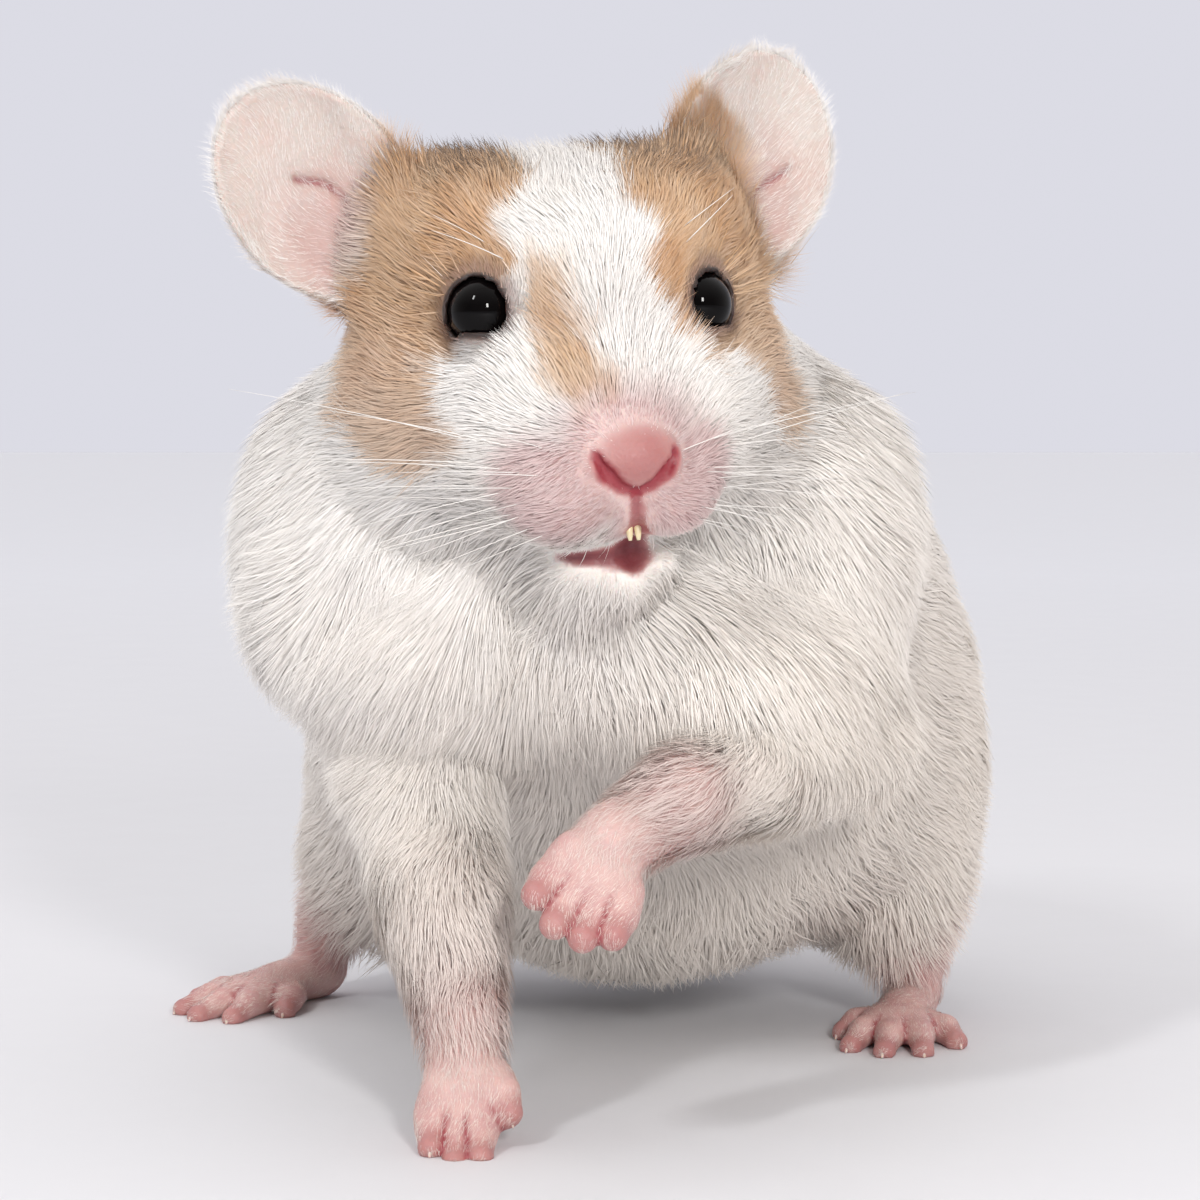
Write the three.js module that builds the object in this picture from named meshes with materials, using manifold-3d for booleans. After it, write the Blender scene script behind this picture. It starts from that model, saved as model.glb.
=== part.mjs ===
// A life-size still model of a short-haired Syrian hamster that stands on three feet and lifts its left
// forepaw. Millimetres, +Z up. The animal faces -Y and its left side is +X. The body is modelled whole, out
// to the tips of the coat, and then parted into head, neck, trunk, legs and paws by thin cuts.
import * as THREE from "three";
import { mergeVertices } from "three/addons/utils/BufferGeometryUtils.js";
import Module from "manifold-3d";

const wasm = await Module();
wasm.setup();

// ---------------------------------------------------------------- driving sizes
const GAP = 0.35; // width of a parting cut
const BLOCK_REACH = 200; // half the size of the blocks that trim the soles and part the limbs

const EYE_DIAMETER = 5.4;
const EAR_HEIGHT = 19;
const EAR_WIDTH = 13.8;
const EAR_THICKNESS = 0.9;
const HIND_FOOT_LENGTH = 17.5;
const FOREPAW_LENGTH = 9.5;
const TAIL_LENGTH = 13;

const HEAD_PLACE = vec(-2.3, 8, 61.1); // middle of the skull
const HEAD_YAW = 15; // degrees, towards the animal's left
const HEAD_PITCH = 12; // nose down
const HEAD_ROLL = -3; // left side up

const COAT_WHITE = "#ece6e0";
const COAT_GOLD = "#c99f74";
const SKIN_PINK = "#dba6a2";
const EYE_BLACK = "#0b0909";
const TOOTH_IVORY = "#e2cf9c";

// ---------------------------------------------------------------- shape tools
function vec(x, y, z) {
  return new THREE.Vector3(x, y, z);
}

function radians(degrees) {
  return THREE.MathUtils.degToRad(degrees);
}

/** Distance field of an ellipsoid, negative inside. */
function ellipsoid(centre, radii) {
  return (p) => {
    const q = p.clone().sub(centre);
    const unit = q.clone().divide(radii);
    const slope = unit.clone().divide(radii).length();
    return slope < 1e-9 ? -radii.x : (unit.length() * (unit.length() - 1)) / slope;
  };
}

/** Distance field of a cone with ball ends, from radius ra at a to rb at b. */
function roundCone(a, b, ra, rb) {
  const along = b.clone().sub(a);
  return (p) => {
    const share = THREE.MathUtils.clamp(p.clone().sub(a).dot(along) / along.lengthSq(), 0, 1);
    return p.distanceTo(a.clone().addScaledVector(along, share)) - THREE.MathUtils.lerp(ra, rb, share);
  };
}

/** Joins distance fields into one, with fillets about as wide as softness. */
function blend(fields, softness) {
  return (p) => {
    const sum = fields.reduce((total, field) => total + Math.exp(-field(p) / softness), 0);
    return -softness * Math.log(sum);
  };
}

/** A closed mesh that wraps a field: each vertex slides in along a ray towards the line from a to b. */
function wrap(field, a, b, around, along, grow = 0) {
  const reach = 70;
  const steps = 90;
  const axis = b.clone().sub(a).normalize();
  const turn = new THREE.Quaternion().setFromUnitVectors(vec(0, 1, 0), axis);
  const geometry = new THREE.SphereGeometry(1, around, along);
  const places = geometry.getAttribute("position");
  for (let i = 0; i < places.count; i++) {
    const ray = vec(0, 0, 0).fromBufferAttribute(places, i).normalize();
    const foot = a.clone().lerp(b, (1 + ray.y) / 2);
    ray.applyQuaternion(turn);
    let far = reach;
    for (let step = 0; step < steps; step++) {
      far -= 0.85 * (field(foot.clone().addScaledVector(ray, far)) - grow);
    }
    places.setXYZ(i, ...foot.addScaledVector(ray, far).toArray());
  }
  return solid(geometry);
}

/** A closed limb along a curve through points. sizes are half widths, [sideways, towards up], end to end. */
function limb({ points, sizes, up, around, along, grow = 0, blunt = 8 }) {
  const curve = new THREE.CatmullRomCurve3(points);
  const geometry = new THREE.SphereGeometry(1, around, along);
  const places = geometry.getAttribute("position");
  for (let i = 0; i < places.count; i++) {
    const row = Math.floor(i / (around + 1));
    const share = row / along;
    const turn = ((i % (around + 1)) / around) * 2 * Math.PI;
    const tangent = curve.getTangent(share);
    const side = tangent.clone().cross(up).normalize();
    const top = side.clone().cross(tangent);
    const cap = Math.sqrt(Math.max(0, 1 - Math.abs(2 * share - 1) ** blunt));
    const place = share * (sizes.length - 1);
    const before = sizes[Math.floor(place)];
    const after = sizes[Math.ceil(place)];
    const [wide, high] = before.map((size, k) => THREE.MathUtils.lerp(size, after[k], place % 1) + grow);
    const ends = (2 * share - 1) * grow;
    const vertex = curve
      .getPoint(share)
      .addScaledVector(tangent, ends)
      .addScaledVector(side, wide * cap * Math.cos(turn))
      .addScaledVector(top, high * cap * Math.sin(turn));
    places.setXYZ(i, ...vertex.toArray());
  }
  return solid(geometry);
}

/** A manifold-3d solid of a closed three.js geometry. */
function solid(geometry) {
  const bare = geometry.clone();
  bare.deleteAttribute("normal");
  bare.deleteAttribute("uv");
  const merged = mergeVertices(bare, 1e-4);
  const corners = merged.index.array;
  const kept = [];
  for (let i = 0; i < corners.length; i += 3) {
    const [a, b, c] = corners.slice(i, i + 3);
    if (a !== b && b !== c && c !== a) kept.push(a, b, c);
  }
  return new wasm.Manifold(
    new wasm.Mesh({
      numProp: 3,
      vertProperties: merged.getAttribute("position").array,
      triVerts: new Uint32Array(kept),
    }),
  );
}

/** The three.js geometry of a solid. */
function geometryOf(body) {
  const { vertProperties, triVerts } = body.getMesh();
  return new THREE.BufferGeometry()
    .setAttribute("position", new THREE.BufferAttribute(vertProperties, 3))
    .setIndex(new THREE.BufferAttribute(triVerts, 1));
}

function ball(centre, radii, around = 12, along = 8) {
  const geometry = new THREE.SphereGeometry(1, around, along);
  geometry.scale(radii.x, radii.y, radii.z).translate(centre.x, centre.y, centre.z);
  return solid(geometry);
}

/** Everything on the far side of the plane through point, towards normal. */
function beyond(point, normal) {
  const block = new THREE.BoxGeometry(2 * BLOCK_REACH, 2 * BLOCK_REACH, 2 * BLOCK_REACH);
  const turn = new THREE.Quaternion().setFromUnitVectors(vec(0, 0, 1), normal.clone().normalize());
  block.translate(0, 0, BLOCK_REACH).applyQuaternion(turn).translate(point.x, point.y, point.z);
  return solid(block);
}

/** Parts a solid at a plane: [the piece before it, the piece towards normal]. */
function part(body, point, normal) {
  const step = normal.clone().normalize().multiplyScalar(GAP / 2);
  const far = beyond(point.clone().sub(step), normal);
  const near = beyond(point.clone().add(step), normal.clone().negate());
  return [body.subtract(far), body.subtract(near)];
}

function moved(body, matrix) {
  return body.transform(matrix.elements);
}

// ---------------------------------------------------------------- head
const headTurn = new THREE.Matrix4()
  .makeRotationFromEuler(new THREE.Euler(radians(HEAD_PITCH), radians(HEAD_ROLL), radians(HEAD_YAW), "ZXY"))
  .setPosition(HEAD_PLACE);

/** The same feature on the right and on the left side. */
function pair(make) {
  return [make(-1), make(1)];
}

/** Skull, cheeks, muzzle and jaw in the head's own frame, with the nose at -Y. */
const headField = blend(
  [
    ellipsoid(vec(0, 2.5, 1.4), vec(13.2, 13.6, 10.8)), // skull
    ...pair((side) => ellipsoid(vec(side * 6.2, 1.0, 6.0), vec(6.4, 9.0, 6.8))), // flat crown
    ellipsoid(vec(0, -5.0, 3.8), vec(8.8, 7.6, 6.4)), // brow
    ...pair((side) => ellipsoid(vec(side * 8.4, 1.5, -5.8), vec(7.8, 10.4, 9.4))), // cheeks
    ...pair((side) => ellipsoid(vec(side * 4.8, -6.6, -5.8), vec(6.6, 7.2, 7.2))), // sides of the face
    ...pair((side) => ellipsoid(vec(side * 11.0, 6.8, 4.4), vec(3.6, 4.4, 5.8))), // roots of the ears
    roundCone(vec(0, -2.0, -3.2), vec(0, -12.6, -6.6), 10.2, 5.2), // muzzle
    ...pair((side) => ellipsoid(vec(side * 3.6, -12.4, -9.4), vec(4.0, 4.2, 3.8))), // whisker pads
    ellipsoid(vec(0, -16.7, -5.8), vec(2.4, 1.5, 1.7)), // nose
    roundCone(vec(0, -1.0, -11.5), vec(0, -7.6, -15.2), 7.8, 4.2), // lower jaw
  ],
  1.1,
);

function eyeball(side, grow = 0) {
  const r = EYE_DIAMETER / 2 + grow;
  return ball(vec(side * 8.7, -6.6, 3.4), vec(r, r, r), 12, 8);
}

/** The slightly open mouth, as a crescent under the split lip. */
function mouth() {
  return limb({
    points: [
      vec(-5.0, -9.6, -13.4),
      vec(-2.6, -12.0, -14.0),
      vec(0, -12.9, -13.9),
      vec(2.6, -12.0, -14.0),
      vec(5.0, -9.6, -13.4),
    ],
    sizes: [
      [0.3, 0.3],
      [0.9, 1.6],
      [1.3, 2.4],
      [0.9, 1.6],
      [0.3, 0.3],
    ],
    up: vec(0, -1, 0),
    around: 8,
    along: 8,
  });
}

/** The two upper front teeth, side by side behind the split of the lip. */
function incisors(grow = 0) {
  return limb({
    points: [vec(0, -11.6, -10.6), vec(0, -13.0, -12.0), vec(0, -13.2, -13.6)],
    sizes: [
      [0.9, 0.5],
      [0.9, 0.5],
      [0.8, 0.35],
    ],
    up: vec(1, 0, 0),
    around: 6,
    along: 4,
    blunt: 14,
    grow,
  });
}

/** One ear in the head's frame: a thin cupped leaf that stands on the base point. */
function ear({ side, base, lean, flare, facing }) {
  const geometry = new THREE.SphereGeometry(1, 16, 10);
  geometry.rotateX(Math.PI / 2);
  const places = geometry.getAttribute("position");
  for (let i = 0; i < places.count; i++) {
    const [x, y, z] = [places.getX(i), places.getY(i), places.getZ(i)];
    const foot = Math.max(0, -y);
    const across = (x * (1 - 0.3 * foot ** 2) * EAR_WIDTH) / 2;
    const cup = 2.6 * (0.9 * x * x + 0.35 * y * y) + 1.2 * foot;
    places.setXYZ(i, side * across, -cup - (z * EAR_THICKNESS) / 2, ((1 + y) * EAR_HEIGHT) / 2 - 1.5);
  }
  const turn = new THREE.Euler(radians(lean), side * radians(flare), side * radians(facing), "ZYX");
  geometry.applyMatrix4(new THREE.Matrix4().makeRotationFromEuler(turn).setPosition(base));
  if (side > 0) return solid(geometry);
  const corners = geometry.index.array;
  for (let i = 0; i < corners.length; i += 3) {
    [corners[i + 1], corners[i + 2]] = [corners[i + 2], corners[i + 1]];
  }
  return solid(geometry);
}

const EARS = {
  ear_right: { side: -1, base: vec(-12.8, 7.7, 3.2), lean: -12, flare: 37, facing: -2 },
  ear_left: { side: 1, base: vec(12.8, 7.7, 3.2), lean: -12, flare: 25, facing: 4 },
};

// ---------------------------------------------------------------- trunk
/** Chest, belly, rump, neck, shoulders and thighs. */
const bodyField = blend(
  [
    ellipsoid(vec(-1.5, 27, 42), vec(22.5, 19.5, 21)), // chest
    ellipsoid(vec(3.5, 48, 34), vec(28, 29, 28)), // belly and back
    ellipsoid(vec(7.5, 66, 27), vec(24.5, 22, 23)), // rump
    roundCone(vec(-2.0, 13, 58.4), vec(1.5, 34, 49.2), 14.0, 18.4), // neck
    ellipsoid(vec(-18, 17, 44.5), vec(11, 12, 15)), // right shoulder
    ellipsoid(vec(15.5, 21, 45), vec(10.5, 12, 14)), // left shoulder
    ellipsoid(vec(-17.6, 58, 22), vec(12, 17, 18)), // right thigh
    ellipsoid(vec(25, 53, 22), vec(10, 16, 18)), // left thigh
  ],
  2.4,
);

function tail(grow = 0) {
  const root = vec(10, 85, 20);
  const bend = root.clone().add(vec(0.6, 5, -5));
  const tip = root.clone().add(vec(1.2, 0.75 * TAIL_LENGTH, -0.72 * TAIL_LENGTH));
  return limb({
    points: [root, bend, tip],
    sizes: [
      [3.2, 3.2],
      [2.2, 2.2],
      [1.3, 1.3],
    ],
    up: vec(1, 0, 0),
    around: 8,
    along: 5,
    grow,
  });
}

// ---------------------------------------------------------------- paws
/** A toe with its claw. Paws lie with their toes towards -Y and their backs towards +Z. */
function toe({ root, knuckle, tip, thick, claw }) {
  const flesh = limb({
    points: [root, knuckle, tip],
    sizes: [
      [thick, thick],
      [1.02 * thick, thick],
      [0.94 * thick, 0.88 * thick],
    ],
    up: vec(0, 0, 1),
    around: 6,
    along: 4,
    blunt: 5,
  });
  const ahead = tip.clone().sub(knuckle).normalize();
  const nail = limb({
    points: [
      tip.clone().addScaledVector(ahead, -1.2).add(vec(0, 0, 0.2 * thick)),
      tip.clone().addScaledVector(ahead, claw),
    ],
    sizes: [
      [0.42, 0.42],
      [0.3, 0.3],
    ],
    up: vec(0, 0, 1),
    around: 4,
    along: 3,
  });
  return flesh.add(nail);
}

/** A hind foot that stands on its sole, with its heel near the origin. side is +1 on the left. */
function hindPaw(side) {
  const sole = 0.62 * HIND_FOOT_LENGTH;
  const instep = limb({
    points: [vec(0, 1.4, 3.2), vec(0, -0.35 * sole, 2.2), vec(0, -0.75 * sole, 1.9), vec(0, -sole, 1.5)],
    sizes: [
      [2.2, 2.7],
      [2.4, 2.4],
      [3.0, 2.1],
      [3.3, 1.7],
    ],
    up: vec(0, 0, 1),
    around: 8,
    along: 6,
    blunt: 5,
  });
  const fan = [
    { across: -2.9, back: 3.4, length: 3.6, splay: -30 },
    { across: -2.0, back: 0.6, length: 5.4, splay: -13 },
    { across: -0.1, back: 0.0, length: 6.0, splay: 0 },
    { across: 1.8, back: 0.5, length: 5.6, splay: 13 },
    { across: 2.9, back: 2.8, length: 4.6, splay: 32 },
  ];
  const toes = fan.map(({ across, back, length, splay }) => {
    const aim = vec(side * Math.sin(radians(splay)), -Math.cos(radians(splay)), 0);
    const root = vec(side * across, back - sole + 1.6, 1.3);
    return toe({
      root,
      knuckle: root.clone().addScaledVector(aim, 0.5 * length).add(vec(0, 0, 0.1)),
      tip: root.clone().addScaledVector(aim, length).add(vec(0, 0, -0.9)),
      thick: 1.15,
      claw: 0.8,
    });
  });
  return toes.reduce((paw, next) => paw.add(next), instep);
}

/**
 * A forepaw with the wrist at the origin and its palm sloping down by slope degrees. It has four toes and a
 * thumb bump. The fan runs from the inner toe to the outer one: dip turns a toe down and bend curls its tip.
 */
function forePaw(side, slope, fan) {
  const palm = 0.5 * FOREPAW_LENGTH;
  const sloping = (degrees, splay) =>
    vec(
      side * Math.sin(radians(splay)),
      -Math.cos(radians(degrees)) * Math.cos(radians(splay)),
      -Math.sin(radians(degrees)) * Math.cos(radians(splay)),
    );
  const aim = sloping(slope, 0);
  const back = vec(0, aim.z, -aim.y);
  const along = (share, across = 0, above = 0) =>
    aim.clone().multiplyScalar(palm * share).add(vec(side * across, 0, 0)).addScaledVector(back, above);
  const hand = limb({
    points: [along(-0.35), along(0.45), along(1)],
    sizes: [
      [2.6, 2.2],
      [3.2, 2.0],
      [3.7, 1.6],
    ],
    up: back,
    around: 8,
    along: 5,
    blunt: 5,
  });
  const thumb = ball(along(0.4, -2.7, -0.8), vec(0.9, 1.0, 0.9), 6, 4);
  const toes = fan.map(({ across, start, length, splay, dip, bend }) => {
    const root = along(start, across, -0.2);
    const knuckle = root.clone().addScaledVector(sloping(slope + dip, splay), 0.5 * length);
    const tip = knuckle.clone().addScaledVector(sloping(slope + dip + bend, splay), 0.5 * length);
    return toe({ root, knuckle, tip, thick: 1.1, claw: 0.6 });
  });
  return toes.reduce((paw, next) => paw.add(next), hand.add(thumb));
}

/** Puts a paw at a place with its toes towards forward and its outer side towards across. */
function placed(place, forward, across) {
  const ahead = forward.clone().normalize();
  const back = ahead.clone().cross(across).normalize();
  const side = back.clone().cross(ahead);
  return new THREE.Matrix4().makeBasis(side, ahead.negate(), back).setPosition(place);
}

function yawed(place, yaw) {
  return placed(place, vec(Math.sin(radians(yaw)), -Math.cos(radians(yaw)), 0), vec(1, 0, 0));
}

const STANDING_FAN = [
  { across: -2.7, start: 0.5, length: 3.6, splay: -16, dip: -26, bend: 20 },
  { across: -1.35, start: 0.84, length: 4.9, splay: 0, dip: -16, bend: -12 },
  { across: 0.55, start: 0.9, length: 4.9, splay: 1, dip: -14, bend: -14 },
  { across: 2.3, start: 0.78, length: 4.2, splay: 3, dip: -14, bend: -14 },
];
const LIFTED_FAN = [
  { across: -2.9, start: 0.66, length: 3.9, splay: -10, dip: 4, bend: 22 },
  { across: -1.0, start: 0.8, length: 4.5, splay: -3, dip: 2, bend: 22 },
  { across: 1.0, start: 0.8, length: 4.5, splay: 2, dip: 2, bend: 22 },
  { across: 2.9, start: 0.66, length: 4.0, splay: 5, dip: 4, bend: 22 },
];
const LIFTED_WRIST = vec(0.8, -0.8, 22.9);
const LIFTED_AIM = { forward: vec(-0.4, -0.5, -0.77), across: vec(0.9, -0.1, -0.43) };
const PAWS = {
  forepaw_right: moved(forePaw(-1, 54, STANDING_FAN), yawed(vec(-10.4, 2.4, 6.0), 3)),
  forepaw_left: moved(forePaw(1, 0, LIFTED_FAN), placed(LIFTED_WRIST, LIFTED_AIM.forward, LIFTED_AIM.across)),
  hindpaw_right: moved(hindPaw(-1), yawed(vec(-25.8, 58.5, -0.1), -42)),
  hindpaw_left: moved(hindPaw(1), yawed(vec(27.8, 46.5, -0.1), -14)),
};

// ---------------------------------------------------------------- legs
/** Arms and shanks as limbs. Each takes the bulge of the trunk that moves with it and ends at the wrist. */
const LEGS = {
  foreleg_right: {
    points: [
      vec(-15.5, 20, 38),
      vec(-14.6, 13, 27.5),
      vec(-12.2, 7.5, 17),
      vec(-10.6, 3.8, 9.2),
      vec(-10.4, 2.2, 5.8),
    ],
    sizes: [
      [6.5, 6.5],
      [7.0, 6.6],
      [5.2, 4.9],
      [3.4, 3.2],
      [2.7, 2.5],
    ],
    up: vec(0, -1, 0),
    bulge: { centre: vec(-19, 15, 41), radii: vec(12, 14, 17) },
    wrist: vec(-10.5, 3.2, 7.8),
    aim: vec(0.05, -0.45, -1),
    paw: "forepaw_right",
  },
  foreleg_left: {
    points: [vec(15, 22, 40), vec(18.8, 12, 31), vec(13, 5, 28.8), vec(6.5, 1.4, 26.6), LIFTED_WRIST],
    sizes: [
      [6.5, 6.5],
      [6.4, 6.4],
      [5.6, 5.2],
      [4.4, 3.9],
      [3.3, 2.7],
    ],
    up: vec(0, 0, 1),
    bulge: { centre: vec(17, 19, 43), radii: vec(12, 14, 16) },
    wrist: vec(2.6, 0.0, 24.3),
    aim: vec(-1, -0.5, -0.65),
    paw: "forepaw_left",
  },
  hindleg_right: {
    points: [vec(-19, 58, 19), vec(-23, 56.5, 12), vec(-25.2, 57.6, 6.6), vec(-25.8, 58.4, 3.4)],
    sizes: [
      [7, 7.5],
      [5.2, 5.8],
      [3.1, 3.3],
      [2.3, 2.6],
    ],
    up: vec(0, -1, 0),
    bulge: { centre: vec(-22, 61, 23.5), radii: vec(11.5, 18, 17) },
    wrist: vec(-25.2, 57.6, 5.9),
    aim: vec(-0.2, -0.2, -1),
    paw: "hindpaw_right",
  },
  hindleg_left: {
    points: [vec(25, 52, 19), vec(27.2, 48.5, 12), vec(27.9, 46.8, 6.6), vec(27.8, 46.4, 3.4)],
    sizes: [
      [7, 7.5],
      [4.9, 5.6],
      [3.3, 3.4],
      [2.4, 2.7],
    ],
    up: vec(0, -1, 0),
    bulge: { centre: vec(28, 54, 23.5), radii: vec(10.5, 18, 17) },
    wrist: vec(27.8, 46.9, 5.9),
    aim: vec(0, -0.1, -1),
    paw: "hindpaw_left",
  },
};

// ---------------------------------------------------------------- assembly
const inHead = (body) => moved(body, headTurn);
const wrapHead = (around, along, grow = 0) =>
  wrap(headField, vec(0, 5, 0.5), vec(0, -9, -4.6), around, along, grow);
const floor = beyond(vec(0, 0, 0), vec(0, 0, -1));
const headSolids = {}; // in the head's frame
const solids = {};
let whole = wrap(bodyField, vec(-1, 24, 45), vec(7, 66, 30), 24, 17).add(inHead(wrapHead(26, 20)));

// Ears stand on the skin of the head.
const headAndGap = wrapHead(20, 16, 2 * GAP);
for (const [name, pose] of Object.entries(EARS)) {
  headSolids[name] = ear(pose).subtract(headAndGap);
}

for (const [name, leg] of Object.entries(LEGS)) {
  const { centre, radii } = leg.bulge;
  const shape = { around: 10, along: 7, up: leg.up, points: leg.points, sizes: leg.sizes, blunt: 10 };
  const full = whole.intersect(ball(centre, radii)).add(limb(shape)).add(PAWS[leg.paw]).subtract(floor);
  [solids[name], solids[leg.paw]] = part(full, leg.wrist, leg.aim);
  whole = whole.subtract(ball(centre, radii.clone().addScalar(GAP))).subtract(limb({ ...shape, grow: GAP }));
}

solids.tail = tail();
whole = whole.subtract(tail(GAP));

for (const [name, side] of Object.entries({ eye_right: -1, eye_left: 1 })) {
  headSolids[name] = eyeball(side);
  whole = whole.subtract(inHead(eyeball(side, GAP)));
}
headSolids.incisors = incisors();
whole = whole.subtract(inHead(mouth())).subtract(inHead(incisors(GAP)));

// The head ends at a rounded cut behind the jaw and ears, and the neck at a wider one.
const headZone = { centre: vec(0, -6, 1), radii: vec(30, 18.5, 22) };
const neckZone = { centre: vec(0, -2, 0), radii: vec(32, 24, 28) };
const zone = ({ centre, radii }, grow = 0) => inHead(ball(centre, radii.clone().addScalar(grow), 18, 10));
headSolids.head = moved(whole.intersect(zone(headZone)), headTurn.clone().invert());
solids.neck = whole.subtract(zone(headZone, GAP)).intersect(zone(neckZone));
solids.trunk = whole.subtract(zone(neckZone, GAP));

const FINISH = {
  eye: { color: EYE_BLACK, roughness: 0.08 },
  ear: { color: SKIN_PINK, roughness: 0.6 },
  paw: { color: SKIN_PINK, roughness: 0.55 },
  tail: { color: SKIN_PINK, roughness: 0.6 },
  incisors: { color: TOOTH_IVORY, roughness: 0.35 },
  head: { color: COAT_GOLD, roughness: 0.85 },
  coat: { color: COAT_WHITE, roughness: 0.85 },
};

function finishOf(name) {
  const key = Object.keys(FINISH).find((word) => name.includes(word)) ?? "coat";
  return new THREE.MeshStandardMaterial({ metalness: 0, ...FINISH[key] });
}

function groupOf(bodies) {
  const group = new THREE.Group();
  for (const [name, body] of Object.entries(bodies)) {
    const mesh = new THREE.Mesh(geometryOf(body), finishOf(name));
    mesh.name = name;
    group.add(mesh);
  }
  return group;
}

const hamster = groupOf(solids);
const head = groupOf(headSolids);
head.applyMatrix4(headTurn);
hamster.add(head);

// The origin is on the floor, under the middle of the animal's outline.
const extent = new THREE.Box3().setFromObject(hamster, true);
const middle = extent.getCenter(vec(0, 0, 0));
hamster.position.set(-middle.x, -middle.y, 0);

export default hamster;
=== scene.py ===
import bpy
import numpy as np
import openvdb
from math import cos, pi, radians, sin
from mathutils import Matrix, Vector
from mathutils.kdtree import KDTree


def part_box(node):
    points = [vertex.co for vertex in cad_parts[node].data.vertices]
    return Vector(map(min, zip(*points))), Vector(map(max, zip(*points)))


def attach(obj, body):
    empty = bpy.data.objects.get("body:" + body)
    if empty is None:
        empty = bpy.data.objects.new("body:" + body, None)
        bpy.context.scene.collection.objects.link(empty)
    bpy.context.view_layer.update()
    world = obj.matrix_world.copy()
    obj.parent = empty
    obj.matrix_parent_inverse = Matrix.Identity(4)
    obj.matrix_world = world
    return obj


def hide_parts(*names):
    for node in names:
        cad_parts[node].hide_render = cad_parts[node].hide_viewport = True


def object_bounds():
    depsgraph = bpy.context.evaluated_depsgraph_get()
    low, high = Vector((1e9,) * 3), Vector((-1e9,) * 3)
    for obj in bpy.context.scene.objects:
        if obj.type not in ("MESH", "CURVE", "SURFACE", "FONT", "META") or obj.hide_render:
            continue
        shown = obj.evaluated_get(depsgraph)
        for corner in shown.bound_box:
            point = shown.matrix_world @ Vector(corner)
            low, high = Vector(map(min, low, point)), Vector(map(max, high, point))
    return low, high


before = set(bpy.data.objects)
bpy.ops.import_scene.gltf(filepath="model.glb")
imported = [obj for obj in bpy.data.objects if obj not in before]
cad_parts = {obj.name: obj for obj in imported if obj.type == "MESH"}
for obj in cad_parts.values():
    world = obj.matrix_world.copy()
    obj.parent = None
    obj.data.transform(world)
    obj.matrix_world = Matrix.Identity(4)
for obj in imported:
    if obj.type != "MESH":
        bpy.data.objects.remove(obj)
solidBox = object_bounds()
mm = 0.001
print("frame loaded")

# Where the head sits and how it turns. The eyes of the frame give its place.
headPose = {
    "turn": 15,  # degrees, towards its left
    "nod": 12,  # nose down
    "tilt": -3,  # left side up
    "leftEye": (8.7, -6.6, 3.4),  # mm from the middle of the skull
    "overFloor": (-2.3, 8.0, 61.1),  # middle of the skull in the stand's own mm
}


def turned(axis, degrees):
    return np.array(Matrix.Rotation(radians(degrees), 3, axis))


def middleOf(node):
    low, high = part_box(node)
    return (np.array(low) + np.array(high)) / 2


headAxes = turned("Z", headPose["turn"]) @ turned("X", headPose["nod"]) @ turned("Y", headPose["tilt"])
headSeat = np.array(headPose["overFloor"])
betweenEyes = np.array(headPose["leftEye"]) * (0, 1, 1)
standPoint = (middleOf("eye_left") + middleOf("eye_right")) / 2 / mm - headAxes @ betweenEyes - headSeat


# Shapes are worked out in mm on the stand, and the head's own forms in the head's frame.
def toHead(points):
    return (points - headSeat) @ headAxes


def fromHead(points):
    return np.asarray(points, float) @ headAxes.T + headSeat


def toFrame(points):
    return (np.asarray(points, float) + standPoint) * mm


def unit(vectors):
    return vectors / np.maximum(np.linalg.norm(vectors, axis=-1, keepdims=True), 1e-9)


def ramp(value, low, high):
    share = np.clip((value - low) / (high - low), 0, 1)
    return share * share * (3 - 2 * share)


def mirrored(place, side):
    return np.array(place, float) * (side, 1, 1)


def ballField(points, centre, sizes):
    offset = (points - np.array(centre)) / sizes
    length = np.linalg.norm(offset, axis=1)
    return length * (length - 1) / np.maximum(np.linalg.norm(offset / sizes, axis=1), 1e-6)


def rodField(points, start, end, startSize, endSize):
    start, along = np.array(start, float), np.subtract(end, start)
    share = np.clip((points - start) @ along / (along @ along), 0, 1)
    middle = start + share[:, None] * along
    return np.linalg.norm(points - middle, axis=1) - startSize - share * (endSize - startSize)


def blended(fields, softness):
    fields = np.array(fields)
    nearest = fields.min(axis=0)
    return nearest - softness * np.log(np.exp((nearest - fields) / softness).sum(axis=0))


def carved(field, hollow, softness):
    return -blended([-field, hollow], softness)


def chainField(points, places, sizes, softness=0.4):
    rods = zip(places, places[1:], sizes, sizes[1:])
    return blended([rodField(points, *rod) for rod in rods], softness)


# Works out a field near its centre only; further off the distance is rough.
def nearby(points, centre, reach, field):
    gap = np.linalg.norm(points - np.array(centre), axis=1)
    near = gap < reach
    result = gap - 0.55 * reach
    if near.any():
        result[near] = field(points[near])
    return result


# Place, half sizes and coat depth of each form of the head.
headShape = {
    "middle": [
        ((0, 2.5, 1.4), (13.2, 13.6, 10.8), 1.9),  # skull
        ((0, -5.0, 3.8), (8.8, 7.6, 6.4), 1.2),  # brow
    ],
    "pairs": [
        ((6.2, 1.0, 6.0), (6.4, 9.0, 6.8), 1.6),  # flat crown
        ((9.6, 4.0, 7.0), (4.4, 6.0, 5.5), 1.5),  # between crown and ears
        ((8.4, 1.5, -5.8), (7.8, 10.4, 9.4), 2.2),  # cheeks
        ((4.8, -6.6, -5.8), (6.6, 7.2, 7.2), 1.2),  # sides of the face
        ((11.0, 6.8, 4.4), (3.6, 4.4, 5.8), 1.2),  # roots of the ears
        ((3.6, -12.4, -9.4), (4.0, 4.2, 3.8), 0.6),  # whisker pads
    ],
    "rods": [
        ((0, -2.0, -3.2), (0, -12.6, -6.6), (10.2, 5.2), (1.2, 0.6)),  # muzzle
        ((0, -1.0, -11.5), (0, -7.6, -15.2), (7.8, 4.2), (2.0, 0.9)),  # lower jaw
    ],
    "softness": 1.1,
}

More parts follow.
